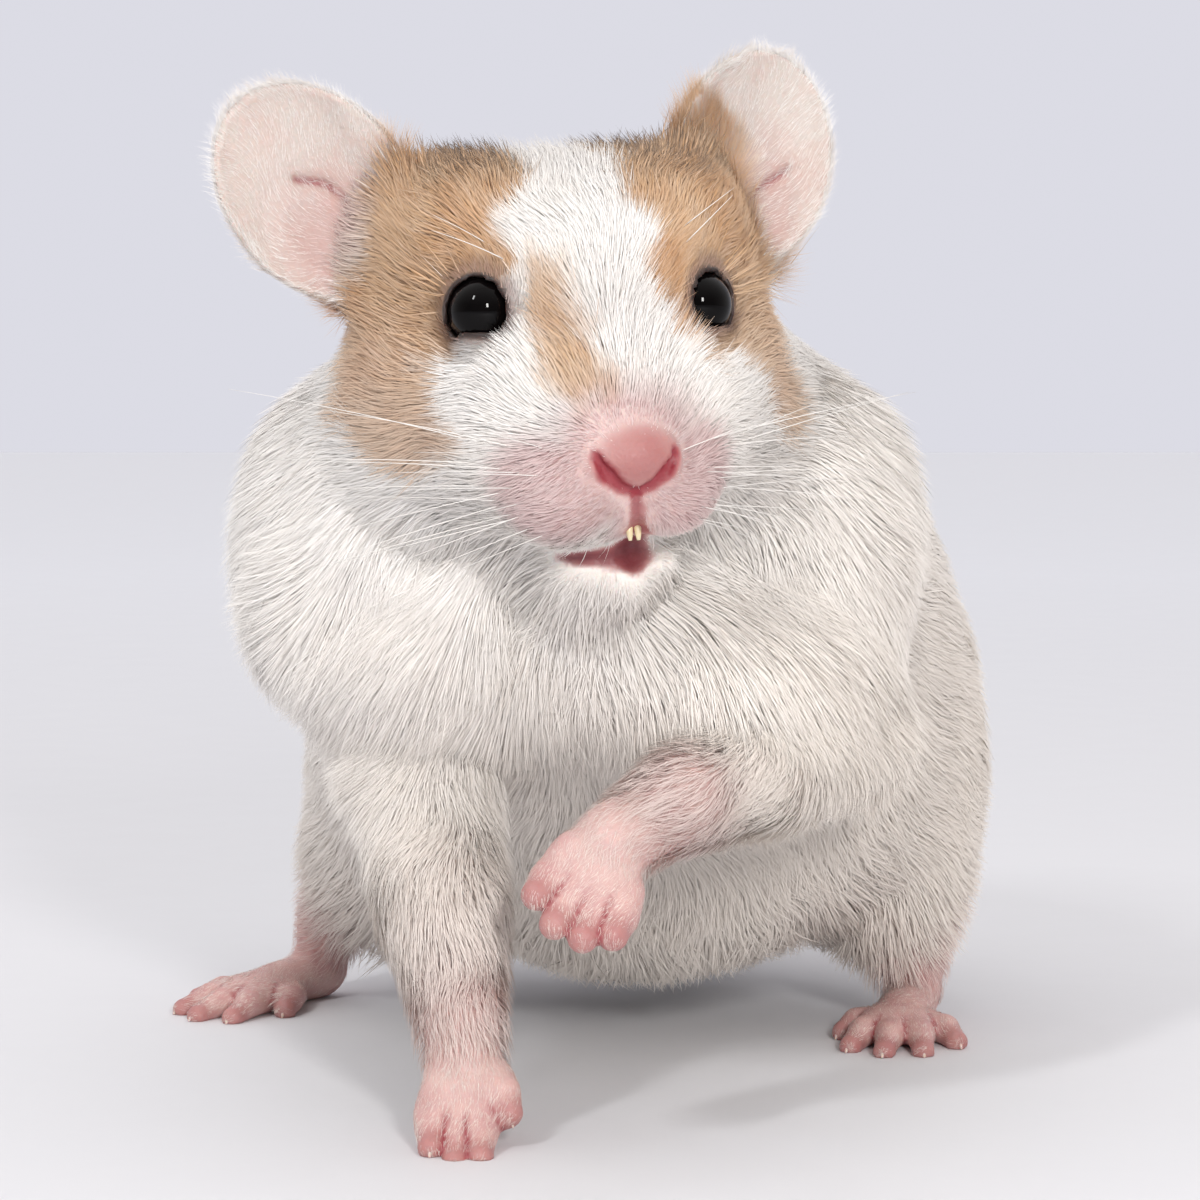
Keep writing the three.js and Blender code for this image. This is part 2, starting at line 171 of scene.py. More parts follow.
faceShape = {
    "noseMiddle": (0.6, 0, 0),
    "nose": ((0.8, -15.9, -6.0), (3.1, 2.2, 2.2)),
    "noseWing": ((2.2, -16.3, -6.4), (1.2, 1.2, 1.2)),
    "nostril": [(2.9, -17.0, -5.6), (2.2, -17.6, -6.9), (1.1, -17.4, -7.9), (0.05, -17.25, -8.3)],
    "nostrilSize": [0.26, 0.5, 0.32, 0.28],
    "cleft": [(0.65, -17.2, -8.5), (0.9, -16.6, -9.8), (1.1, -15.8, -11.0), (1.5, -14.6, -12.3)],
    "cleftSize": [0.24, 0.28, 0.36, 0.8],
    "mouth": [(-3.6, -10.2, -15.0), (0.2, -13.2, -14.8), (2.3, -13.8, -14.5), (4.3, -13.0, -14.6), (6.6, -10.4, -14.6)],
    "mouthSize": [0.15, 0.8, 1.6, 1.2, 0.2],
    "mouthSqueeze": 0.5,  # the opening is twice as deep as it is high
    "lip": [(-2.2, -8.8, -16.2), (1.6, -10.4, -16.9), (4.8, -8.8, -16.0)],
    "lipSize": [1.1, 1.4, 1.1],
    "eyes": {-1: (-8.2, -6.8, 3.3), 1: (7.9, -6.8, 2.95)},
    "eyeSize": 2.7,
    "lidOpening": 2.3,
    "lowerLid": 1.6,  # how far under the middle of the eye the lower lid lies
    "lidCorner": (1.75, -1.2, 0.55),  # towards the nose, up, and how round
    "lidThick": 0.4,
    "eyeTurn": 34,  # degrees that the left eye looks out of the nose's line
    "eyeLift": 13,
}

bodyShape = {
    "balls": [
        ((-1.5, 27, 42), (22.5, 19.5, 21), 3.2),  # chest
        ((3.5, 47.5, 33.1), (28, 29, 30.0), 3.2),  # belly and back
        ((7.5, 66, 27), (24.5, 22, 23), 3.2),  # rump
        ((-18, 17, 44.5), (11, 12, 15), 3.0),  # right shoulder
        ((15.5, 21, 45), (10.5, 12, 14), 3.0),  # left shoulder
        ((-16.4, 58, 22), (10.4, 17, 18), 3.0),  # right thigh
        ((25, 53, 22), (10, 16, 18), 3.0),  # left thigh
        ((-14, 14.5, 39), (11.5, 10.5, 9), 3.0),  # ruff over the right foreleg
        ((10, 12.5, 35), (11.5, 9, 9), 3.0),  # chest above the lifted arm
        ((-0.5, 13, 38), (9.5, 9.6, 8.4), 3.0),  # throat
    ],
    "neck": ((-2.0, 13, 58.4), (1.5, 34, 49.2), (14.0, 18.4), (2.8, 3.2)),
    "softness": 2.4,
    "neckSoftness": 2.6,
    "legSoftness": 1.6,
}

# Points along each leg, half widths and coat depths there.
liftedWrist = (0.8, -0.8, 22.9)
legShape = {
    "foreleg_right": (
        [(-15.5, 20, 38), (-14.4, 15.2, 27.5), (-12.2, 7.9, 17), (-10.6, 3.8, 9.2), (-10.4, 2.2, 5.8)],
        [6.5, 6.8, 5.4, 3.5, 2.6],
        [3.0, 2.6, 2.0, 1.1, 0.4],
    ),
    "foreleg_left": (
        [(15, 22, 39), (18.6, 13.4, 30), (13, 6.6, 27.8), (6.5, 2.0, 26.0), liftedWrist],
        [6.4, 6.0, 5.0, 3.95, 3.0],
        [3.0, 2.8, 2.2, 1.2, 0.4],
    ),
    "hindleg_right": (
        [(-19, 58, 19), (-22.2, 56.5, 12.4), (-24.9, 57.6, 6.8), (-25.8, 58.4, 3.4)],
        [6.6, 4.3, 2.9, 2.4],
        [3.0, 1.5, 0.5, 0.3],
    ),
    "hindleg_left": (
        [(25, 52, 19), (27.2, 48.5, 12), (27.9, 46.8, 6.6), (27.8, 46.4, 3.4)],
        [7.0, 4.0, 3.0, 2.5],
        [3.0, 1.3, 0.5, 0.3],
    ),
    "tail": ([(10, 85, 20), (10.6, 90, 15), (11.2, 94.6, 10.9)], [2.9, 2.0, 1.2], [1.2, 0.9, 0.6]),
}

# Each paw: where it starts, where its toes point and which way its outer side lies. A toe is its place
# across and along the paw, its length, its splay, how far it turns down and how far its tip curls.
pawShape = {
    "forepaw_right": {
        "place": (-10.4, 2.4, 6.0), "side": -1, "turn": 3, "slope": 54, "hand": True,
        "toes": [
            (-2.6, 1.4, 3.5, -14, -22, 20), (-1.3, 4.0, 5.1, 0, -16, -12),
            (0.55, 4.3, 5.0, 1, -14, -14), (2.2, 3.7, 4.2, 3, -14, -14),
        ],
    },
    "forepaw_left": {
        "place": liftedWrist, "side": 1, "forward": (-0.4, -0.5, -0.77), "outer": (0.9, -0.1, -0.43), "hand": True,
        "toes": [
            (-2.8, 3.1, 3.7, -8, 4, 22), (-0.95, 3.8, 4.5, -3, 2, 22),
            (0.95, 3.8, 4.5, 2, 2, 22), (2.75, 3.1, 4.1, 4, 4, 22),
        ],
        "plump": 1.16, "claws": 0.45,
    },
    "hindpaw_right": {"place": (-25.8, 58.5, -0.1), "side": -1, "turn": -42, "hand": False},
    "hindpaw_left": {"place": (27.8, 46.5, -0.1), "side": 1, "turn": -14, "hand": False},
}
hindToes = [
    (-2.9, 5.85, 3.6, -30, 0, 24), (-2.0, 8.65, 5.4, -13, 0, 18), (-0.1, 9.25, 6.0, 0, 0, 16),
    (1.8, 8.75, 5.6, 13, 0, 18), (2.9, 6.45, 4.6, 32, 0, 20),
]
for paw in pawShape.values():
    paw.setdefault("toes", hindToes)


# The paw's own axes: across to its outer side, ahead along the toes, and up out of its back.
def pawAxes(paw):
    if "forward" in paw:
        ahead, outer = unit(np.array(paw["forward"])), np.array(paw["outer"])
    else:
        flat = np.array((sin(radians(paw["turn"])), -cos(radians(paw["turn"])), 0))
        outer = np.array((paw["side"], 0.0, 0.0))
        slope = radians(paw.get("slope", 0))
        ahead = flat * cos(slope) - np.array((0, 0, sin(slope)))
    back = unit(np.cross(outer, ahead))
    back *= paw["side"] if "forward" not in paw else 1
    across = np.cross(ahead, back)
    across *= np.sign(across @ outer)
    back *= 1 if back[2] > 0 or "forward" in paw else -1
    return np.array([across, ahead, back]).T


def toeJoints(toe, hand):
    across, ahead, length, splay, dip, curl = toe
    root = np.array((across, ahead, -0.2 if hand else 1.3))

    def aim(degrees):
        tilt, spread = radians(degrees), radians(splay)
        return np.array((sin(spread), cos(tilt) * cos(spread), -sin(tilt) * cos(spread)))

    knuckle = root + aim(dip) * 0.5 * length
    return root, knuckle, knuckle + aim(dip + curl) * 0.5 * length


pawFlesh = {
    "hand": [((0, -0.8, 0), (2.5, 2.6, 2.2)), ((0, 2.3, 0), (3.0, 3.4, 1.9)), ((0, 4.4, -0.1), (3.5, 1.9, 1.5))],
    "thumb": ((-2.7, 1.9, -0.8), (0.9, 1.0, 0.9)),
    "foot": [((0, 0.4, 2.5), (2.2, 2.9, 2.4)), ((0, 4.2, 2.0), (2.3, 4.2, 2.0)), ((0, 8.6, 1.6), (3.2, 3.0, 1.6))],
    "toeSizes": [1.0, 1.12, 0.9, 0.98],  # root, knuckle, before the pad, pad
    "toeSoftness": 0.12,
    "palmSoftness": 0.45,
}


def pawField(points, paw):
    local = (points - np.array(paw["place"])) @ pawAxes(paw)
    hand = paw["hand"]
    flesh = pawFlesh["hand"] + [pawFlesh["thumb"]] if hand else pawFlesh["foot"]
    palm = blended([ballField(local, *form) for form in flesh], 0.5)
    toes = []
    for toe in paw["toes"]:
        root, knuckle, tip = toeJoints(toe, hand)
        beforePad = knuckle + (tip - knuckle) * 0.45
        sizes = np.array(pawFlesh["toeSizes"]) * paw.get("plump", 1)
        toes.append(chainField(local, [root, knuckle, beforePad, tip], sizes, 0.2))
    return blended([palm, blended(toes, pawFlesh["toeSoftness"])], pawFlesh["palmSoftness"])


# A thin cupped leaf that stands on its base. lean, flare and facing are degrees.
earShape = {
    "size": (13.8, 19.0),  # width and height, mm
    "thick": (0.62, 0.9),  # in the leaf and along its rolled rim, mm
    "cup": 2.6,
    "lobe": (0.27, -0.26),  # middle of the inner lobe, across and up from -1 to 1
    "crease": {
        -1: [(0.08, 0.22), (-0.14, 0.05), (-0.21, -0.11), (-0.23, -0.3)],
        1: [(0.55, 0.14), (0.34, -0.06), (0.2, -0.22), (0.12, -0.42)],
    },
    -1: {"base": (-12.8, 7.7, 3.2), "lean": -12, "flare": 37, "facing": -2},
    1: {"base": (12.8, 7.7, 3.2), "lean": -12, "flare": 25, "facing": 4},
    # across under which golden hair grows on the front of the leaf, from low to high up
    "gold": {
        -1: [(-1.0, 0.3), (-0.7, -0.15), (-0.45, -0.6), (-0.2, -0.75), (0.0, -0.85), (0.3, -1.3)],
        1: [(-1.0, 0.5), (-0.6, 0.2), (-0.2, 0.16), (0.1, 0.0), (0.3, -0.15), (0.5, -1.3)],
    },
}


# Across and up the leaf from -1 to 1, and mm in front of its middle surface.
def earPlace(points, side):
    ear = earShape[side]
    axes = turned("Z", side * ear["facing"]) @ turned("Y", side * ear["flare"]) @ turned("X", ear["lean"])
    local = (toHead(points) - np.array(ear["base"])) @ axes
    width, height = earShape["size"]
    up = (local[:, 2] + 1.5) * 2 / height - 1
    foot = np.maximum(0, -up)
    across = side * local[:, 0] / (width / 2 * np.maximum(1 - 0.3 * foot ** 2, 0.3))
    lie = earShape["cup"] * (0.9 * across ** 2 + 0.35 * up ** 2) + 1.2 * foot
    lobe = np.hypot((across - earShape["lobe"][0]) / 0.5, (up - earShape["lobe"][1]) / 0.5)
    roll = np.exp(-((across + 0.74 + 0.2 * up ** 2) / 0.15) ** 2) * ramp(up, -0.7, -0.2) * ramp(-up, -0.95, -0.5)
    fold = 0.5 * np.exp(-(earCrease(across, up, side) / 0.04) ** 2) - 0.5 * ramp(-lobe, -1.1, -0.7) - 0.45 * roll
    return across, up, -local[:, 1] - lie + fold


# How far a place on the leaf lies from the folded crease over the inner lobe.
def earCrease(across, up, side):
    points = np.stack([across, up, np.zeros_like(up)], axis=1)
    line = [(*place, 0) for place in earShape["crease"][side]]
    return np.maximum(np.min([rodField(points, a, b, 0, 0) for a, b in zip(line, line[1:])], axis=0), 0)


def earField(points, side):
    across, up, front = earPlace(points, side)
    width, height = earShape["size"]
    radius = np.sqrt(across ** 2 + up ** 2)
    edge = (radius - 1) * (width + height) / 4
    leaf, rim = earShape["thick"]
    half = (leaf + (rim - leaf) * np.exp(-((1 - radius) / 0.08) ** 2) + 1.2 * ramp(-up, 0.45, 1.0)) / 2
    slope = 2 * earShape["cup"] * np.sqrt((0.9 * across / (width / 2)) ** 2 + (0.35 * up / (height / 2)) ** 2)
    sheet = np.abs(front) / np.sqrt(1 + slope ** 2) - half
    inset = np.minimum(half, 0.4)
    outside = np.stack([np.maximum(edge + inset, 0), np.maximum(sheet + inset, 0)])
    inside = np.minimum(np.maximum(edge, sheet) + inset, 0)
    return np.linalg.norm(outside, axis=0) + inside - inset


# bare is 1 for the skin and 0 for the outline that the coat's tips reach.
def headField(points, bare):
    local = toHead(points)
    fields = [ballField(local, centre, sizes) + bare * coat for centre, sizes, coat in headShape["middle"]]
    for side in (-1, 1):
        for centre, sizes, coat in headShape["pairs"]:
            fields.append(ballField(local, mirrored(centre, side), sizes) + bare * coat)
    for start, end, sizes, coats in headShape["rods"]:
        fields.append(rodField(local, start, end, sizes[0] - bare * coats[0], sizes[1] - bare * coats[1]))
    return blended(fields, headShape["softness"])


def bodyField(points, bare):
    fields = [ballField(points, centre, sizes) + bare * coat for centre, sizes, coat in bodyShape["balls"]]
    start, end, sizes, coats = bodyShape["neck"]
    fields.append(rodField(points, start, end, sizes[0] - bare * coats[0], sizes[1] - bare * coats[1]))
    return blended(fields, bodyShape["softness"])


def legField(points, name, bare):
    places, sizes, coats = legShape[name]
    thinned = [size - bare * coat for size, coat in zip(sizes, coats)]
    return chainField(points, places, thinned, 0.8)


def eyeDistances(local):
    return [np.linalg.norm(local - np.array(faceShape["eyes"][side]), axis=1) for side in (-1, 1)]


# Where the left eye looks, in the head's frame.
eyeOut = turned("Z", faceShape["eyeTurn"]) @ turned("X", -faceShape["eyeLift"]) @ np.array((0, -1.0, 0))


# The opening between the lids: round above, nearly straight below.
def lidOpening(local, side):
    offset = local - np.array(faceShape["eyes"][side])
    out = mirrored(eyeOut, side)
    height = offset @ out
    flat = offset - height[:, None] * out
    upward = unit(np.array((0, 0.12, 1)) - out * (0.12 * out[1] + out[2]))
    rise = flat @ upward
    inward = flat @ np.cross(upward, out) * side
    around = np.max([np.linalg.norm(flat, axis=1) - faceShape["lidOpening"], -faceShape["lowerLid"] - rise], axis=0)
    noseward, up, size = faceShape["lidCorner"]
    corner = np.hypot(inward - noseward, rise - up) - size
    return np.maximum(blended([around, corner], 0.12), -height)


def mouthField(local):
    squeeze = np.array((1, faceShape["mouthSqueeze"], 1))
    lips = [np.array(place) * squeeze for place in faceShape["mouth"]]
    return chainField(local * squeeze, lips, faceShape["mouthSize"], 0.3)


def onNose(place, side):
    return mirrored(place, side) + faceShape["noseMiddle"]


def nostrilField(local):
    sides = [[onNose(place, side) for place in faceShape["nostril"]] for side in (-1, 1)]
    return np.min([chainField(local, places, faceShape["nostrilSize"], 0.1) for places in sides], axis=0)


def cleftField(local):
    return chainField(local, faceShape["cleft"], faceShape["cleftSize"], 0.1)


def faceField(points, skin):
    local = toHead(points)
    nose = [ballField(local, *faceShape["nose"])]
    centre, sizes = faceShape["noseWing"]
    nose += [ballField(local, onNose(centre, side), sizes) for side in (-1, 1)]
    skin = blended([skin, blended(nose, 0.35), chainField(local, faceShape["lip"], faceShape["lipSize"])], 0.45)
    for side, distance in zip((-1, 1), eyeDistances(local)):
        skin = blended([skin, distance - faceShape["eyeSize"] - faceShape["lidThick"]], 0.5)
        skin = np.maximum(skin, faceShape["eyeSize"] + 0.03 - distance)
        skin = carved(skin, lidOpening(local, side), 0.12)
    skin = carved(skin, nostrilField(local), 0.14)
    skin = carved(skin, cleftField(local), 0.15)
    return carved(skin, mouthField(local), 0.2)


def animalField(points, bare):
    head = headField(points, bare)
    torso = blended([head, bodyField(points, bare)], bodyShape["neckSoftness"])
    legs = [nearby(points, *legReach[name], lambda near: legField(near, name, bare)) for name in legShape]
    skin = blended([torso] + legs, bodyShape["legSoftness"])
    paws = [nearby(points, pawReach[name], 16, lambda near: pawField(near, paw)) for name, paw in pawShape.items()]
    ears = [nearby(points, earReach[side], 16, lambda near: earField(near, side)) for side in (-1, 1)]
    skin = blended([skin] + paws, 0.4)
    skin = blended([skin] + ears, 0.5)
    if bare:
        face = np.linalg.norm(points - fromHead((0, -11, -4)), axis=1) < 17
        skin[face] = faceField(points[face], skin[face])
    return skin


legReach = {name: (np.mean([places[0], places[-1]], axis=0), 34) for name, (places, _, _) in legShape.items()}
pawReach = {name: np.array(paw["place"]) + pawAxes(paw)[:, 1] * 5 for name, paw in pawShape.items()}
earReach = {side: fromHead(np.array(earShape[side]["base"]) + (side * 4.5, 2, 8)) for side in (-1, 1)}


def fieldSlope(points, bare):
    reach = 0.06
    corners = np.array([(1, -1, -1), (-1, -1, 1), (-1, 1, -1), (1, 1, 1)])
    return sum(corner * animalField(points + reach * corner, bare)[:, None] for corner in corners) / (4 * reach)


# Slides points along the field until they lie on the skin.
def onSkin(points, rounds):
    for _ in range(rounds):
        slope = fieldSlope(points, 1)
        height = np.clip(animalField(points, 1), -0.5, 0.5)
        points = points - slope * (height / np.maximum((slope ** 2).sum(axis=1), 0.2))[:, None]
    return points


# The skin's surface from a grid of its field, worked out finely only close to it.
def skinSurface(step):
    low = np.array(solidBox[0]) / mm - standPoint - 2.0
    high = np.array(solidBox[1]) / mm - standPoint + 2.0
    block = 3
    counts = np.ceil((high - low) / (step * block)).astype(int) + 1
    cells = np.stack(np.meshgrid(*[np.arange(n) for n in counts], indexing="ij"), -1).reshape(-1, 3)
    rough = animalField(low + (cells * block + 1) * step, 1)
    values = np.repeat(np.sign(rough) * 2.0, block ** 3).reshape(-1, block ** 3)
    near = np.abs(rough) < step * block * 1.6
    inner = np.stack(np.meshgrid(*[np.arange(block)] * 3, indexing="ij"), -1).reshape(-1, 3)
    nodes = (cells[near][:, None, :] * block + inner).reshape(-1, 3)
    values[near] = animalField(low + nodes * step, 1).reshape(-1, block ** 3)
    values = values.reshape(*counts, block, block, block).transpose(0, 3, 1, 4, 2, 5)
    values = np.ascontiguousarray(values.reshape(counts * block), np.float32)
    grid = openvdb.FloatGrid()
    grid.copyFromArray(values)
    points, quads = grid.convertToQuads()
    heights = {"low": low + step, "step": step * block, "values": rough.reshape(counts)}
    return points * step + low, quads, heights


def makeObject(name, points, faces):
    mesh = bpy.data.meshes.new(name)
    faces = np.asarray(faces, np.int32)
    mesh.vertices.add(len(points))
    mesh.vertices.foreach_set("co", toFrame(points).astype(np.float32).ravel())
    mesh.loops.add(faces.size)
    mesh.loops.foreach_set("vertex_index", faces.ravel())
    mesh.polygons.add(len(faces))
    mesh.polygons.foreach_set("loop_start", np.arange(len(faces), dtype=np.int32) * faces.shape[1])
    mesh.polygons.foreach_set("use_smooth", np.ones(len(faces), bool))
    mesh.update(calc_edges=True)
    thing = bpy.data.objects.new(name, mesh)
    bpy.context.scene.collection.objects.link(thing)
    return thing


def addValues(thing, name, values):
    layer = thing.data.attributes.new(name, "FLOAT", "POINT")
    layer.data.foreach_set("value", np.asarray(values, np.float32))


def pointsOf(thing):
    places = np.empty(len(thing.data.vertices) * 3, np.float32)
    thing.data.vertices.foreach_get("co", places)
    return places.reshape(-1, 3).astype(float) / mm - standPoint


def groupFields(points):
    fields = {"head": headField(points, 1), "body": bodyField(points, 1)}
    for name in legShape:
        fields[name] = nearby(points, *legReach[name], lambda near: legField(near, name, 1))
    for name, paw in pawShape.items():
        fields[name] = nearby(points, pawReach[name], 16, lambda near: pawField(near, paw))
    for side, name in ((-1, "ear_right"), (1, "ear_left")):
        fields[name] = nearby(points, earReach[side], 16, lambda near: earField(near, side))
    return fields


skinLook = {
    "step": 0.4,  # mm between the skin's points before the plain parts are thinned out
    "faces": 180000,
}


def makeSkin():
    points, quads, heights = skinSurface(skinLook["step"])
    points = onSkin(points, 2)
    points[:, 2] = np.maximum(points[:, 2], 0.0)
    skin = makeObject("skin", points, quads)
    local = toHead(points)
    fine = ramp(-local[:, 1], 2.0, 6.0) * (local[:, 2] > -19)
    for paw in list(pawReach.values()) + list(earReach.values()):
        fine = np.maximum(fine, ramp(-np.linalg.norm(points - paw, axis=1), -14, -10))
    plain = skin.vertex_groups.new(name="plain")
    for level in range(11):
        chosen = np.nonzero(np.round((1 - fine) * 10) == level)[0]
        plain.add(chosen.tolist(), level / 10, "REPLACE")
    thin = skin.modifiers.new("thin out", "DECIMATE")
    thin.ratio = skinLook["faces"] / (2 * len(quads))
    thin.vertex_group = "plain"
    thin.vertex_group_factor = 1.0
    bpy.context.view_layer.objects.active = skin
    skin.select_set(True)
    bpy.ops.object.modifier_apply(modifier="thin out")
    skin.vertex_groups.clear()
    return skin, heights


skin, heights = makeSkin()
print("skin", len(skin.data.vertices), len(skin.data.polygons))
bpy.ops.object.mode_set(mode="EDIT")
bpy.ops.mesh.select_all(action="SELECT")
bpy.ops.uv.smart_project(angle_limit=radians(66), island_margin=0.002)
bpy.ops.object.mode_set(mode="OBJECT")
skin.data.uv_layers[0].name = "OFBake"
print("unwrap")

# Everything that grows from the skin reads these: place, way out, lie of the coat and depth at each point.
skinPoints = pointsOf(skin)
skinOut = unit(fieldSlope(skinPoints, 1))
skin.data.calc_loop_triangles()
skinTriangles = np.empty(len(skin.data.loop_triangles) * 3, np.int32)
skin.data.loop_triangles.foreach_get("vertices", skinTriangles)
skinTriangles = skinTriangles.reshape(-1, 3)
skinCorners = np.empty(len(skin.data.loop_triangles) * 3, np.int32)
skin.data.loop_triangles.foreach_get("loops", skinCorners)
skinUnwrap = np.empty(len(skin.data.loops) * 2, np.float32)
skin.data.uv_layers["OFBake"].data.foreach_get("uv", skinUnwrap)
skinUnwrap = skinUnwrap.reshape(-1, 2)[skinCorners].reshape(-1, 3, 2)
skinGroups = groupFields(skinPoints)
skinDepth = np.clip(-animalField(skinPoints, 0), 0.0, 3.6)
print("fields")


def nearness(fields, names, softness=1.2):
    lowest = np.min([fields[name] for name in fields], axis=0)
    return sum(np.exp((lowest - fields[name]) / softness) for name in names)


allGroups = list(skinGroups)
total = nearness(skinGroups, allGroups)
share = {name: nearness(skinGroups, [name]) / total for name in allGroups}
barePaws = sum(share[name] for name in pawShape)
ears = share["ear_left"] + share["ear_right"]
legs = sum(share[name] for name in legShape)


def flowAlong(points, places):
    places = np.array(places, float)
    best = np.full(len(points), np.inf)
    flow = np.zeros_like(points)
    for start, end in zip(places, places[1:]):
        along = end - start
        part = np.clip((points - start) @ along / (along @ along), 0, 1)
        gap = np.linalg.norm(points - start - part[:, None] * along, axis=1)
        flow[gap < best] = unit(along)
        best = np.minimum(best, gap)
    return flow


def lieOfCoat(points):
    local = toHead(points)
    headFlow = unit(unit(local - np.array((0.3, -17.5, -6.5))) + np.array((0, 0.45, -0.1)))
    upperLip = ramp(local[:, 2], -14.5, -12.5) * ramp(-local[:, 2], 7.0, 9.0) * ramp(-local[:, 1], 8, 12)
    apart = np.sign(local[:, 0] - 0.9)
    headFlow += upperLip[:, None] * np.stack([1.45 * apart, 0.5 * apart ** 2, -0.25 * apart ** 2], axis=1)
    for side, distance in zip((-1, 1), eyeDistances(local)):
        away = unit(local - np.array(faceShape["eyes"][side]))
        inward = np.minimum((headFlow * away).sum(axis=1), 0)
        headFlow -= (1.15 * inward * ramp(-distance, -7.5, -4.2))[:, None] * away
    flow = share["head"][:, None] * headFlow @ headAxes.T
    front = ramp(-points[:, 1], -34, -6)
    sideways = (points[:, 0] - 1.0) / 24
    bodyFlow = np.stack([(0.25 + 0.75 * front) * sideways, 1.0 - 0.85 * front, -0.5 - 0.6 * front], axis=1)
    flow += share["body"][:, None] * unit(bodyFlow)
    for name, (places, _, _) in legShape.items():
        under = ramp(np.linalg.norm(points - np.array(places[0]), axis=1), 13, 26)[:, None]
        flow += share[name][:, None] * (under * flowAlong(points, places) + (1 - under) * unit(bodyFlow))
    for name, paw in pawShape.items():
        flow += share[name][:, None] * pawAxes(paw)[:, 1]
    for side, name in ((-1, "ear_right"), (1, "ear_left")):
        outward = points - fromHead(earShape[side]["base"])
        flow += share[name][:, None] * unit(outward)
    return flow


skinEdges = np.empty(len(skin.data.edges) * 2, np.int32)
skin.data.edges.foreach_get("vertices", skinEdges)
skinEdges = skinEdges.reshape(-1, 2)


# Evens out values over the skin by passing them between neighbouring points.
def evened(values, rounds):
    a, b = skinEdges.T
    count = np.bincount(skinEdges.ravel(), minlength=len(skinPoints))[:, None]
    for _ in range(rounds):
        total = np.zeros_like(values)
        for k in range(values.shape[1]):
            total[:, k] = np.bincount(a, values[b, k], len(skinPoints)) + np.bincount(b, values[a, k], len(skinPoints))
        values = 0.5 * values + 0.5 * total / np.maximum(count, 1)
    return values


def flattened(vectors, out):
    return unit(vectors - (vectors * out).sum(axis=1, keepdims=True) * out)


skinFlow = flattened(evened(flattened(lieOfCoat(skinPoints), skinOut), 12), skinOut)
headPlace = toHead(skinPoints)
chin = ramp(-np.linalg.norm(headPlace - (0.4, -9.0, -16.0), axis=1), -7.5, -4.5) * (headPlace[:, 2] < -14.4)
skinDepth = np.maximum(skinDepth, 1.1 * chin * ramp(mouthField(headPlace), 0.2, 1.4))
skinDepth = evened(skinDepth[:, None], 6)[:, 0]
print("flow")


def ripple(points, size, seed):
    rng = np.random.default_rng(seed)
    total = np.zeros(len(points))
    for _ in range(7):
        way = unit(rng.normal(size=3)) * 2 * pi / (size * rng.uniform(0.6, 1.6))
        total += np.sin(points @ way + rng.uniform(0, 2 * pi))
    return total / 2.6


# Golden patches in the head's frame: how far from the middle they start at each height, how far back they reach
# there, and the patch along the bridge of the nose.
markings = {
    "right": {
        "height": (-8.6, -8.0, -5.8, -3.2, -0.8, 1.2, 4.0, 7.0, 8.8, 10.0, 11.2, 13.0),
        "start": (-19.0, -11.6, -10.3, -11.0, -11.7, -9.8, -7.6, -6.8, -6.3, -5.6, -4.5, -4.0),
    },
    "left": {
        "height": (-8.6, -7.5, -4.9, -2.8, -1.5, -0.2, 2.0, 3.4, 5.0, 6.5, 9.1, 13.0),
        "start": (19.0, 13.9, 12.8, 11.6, 9.6, 7.2, 5.2, 4.4, 3.6, 3.0, 3.3, 3.2),
    },
    "lowest": -8.4,
    "back": {
        "right": ((-8.5, -6.4, -3.0, 1.0, 13.0), (-4.0, 2.6, 5.5, 11.0, 14.0)),
        "left": ((-8.5, -6.4, -3.0, 1.0, 5.0, 13.0), (-4.0, -1.5, -0.5, 3.0, 9.0, 14.0)),
    },
    "bridge": ((-4.0, -9.8, 6.0), (-2.5, -12.7, -1.0), 1.7, 2.5),
    "earRoot": ((-14.6, 7.0, 6.2), (3.4, 4.0, 4.4)),  # pale and pink in front of the right ear
    "edge": 0.7,
}


def rootPink(local):
    return ramp(-ballField(local, *markings["earRoot"]), -1.4, 1.6)


# Low on the body and towards its left the white turns to cream: partly the coat's own creamy belly, partly painted
# shade on the underside and on the left side, away from the main lamp.
def creamAndShadeAt(points):
    return np.clip(0.35 + 0.012 * points[:, 0] + 0.022 * (45 - points[:, 2]), 0, 1)


def goldAt(points):
    local = toHead(points)
    wobble = 0.4 * ripple(points, 5, 3) + 0.3 * ripple(points, 2.2, 4)
    across, back, up = local.T
    inside = []
    for side, name in ((-1, "right"), (1, "left")):
        start = np.interp(up, markings[name]["height"], markings[name]["start"])
        behind = 0.6 * (np.interp(up, *markings["back"][name]) - back)
        inside.append(np.min([side * (across - start), behind, up - markings["lowest"]], axis=0))
    sides = ramp(np.max(inside, axis=0) + wobble, -markings["edge"], markings["edge"])
    sides *= (0.72 + 0.28 * ramp(up, -7.0, 4.0)) * (1 - 0.65 * rootPink(local))
    bridge = 0.92 * ramp(-rodField(local, *markings["bridge"]) + wobble, -1.1, 1.1)
    gold = np.maximum(sides, bridge)
    for side in (-1, 1):
        near = np.nonzero(np.linalg.norm(points - earReach[side], axis=1) < 16)[0]
        leaf = ramp(-earField(points[near], side), -0.9, -0.5)
        upward, start = zip(*earShape["gold"][side])
        across, up, front = earPlace(points[near], side)
        grown = ramp(np.interp(up, upward, start) - across + 0.1 * wobble[near], -0.3, 0.25)
        grown = np.where(front > 0, grown, 0.15 + 0.85 * ramp(-up, 0.3, 0.8))
        gold[near] += leaf * (grown - gold[near])
    return gold


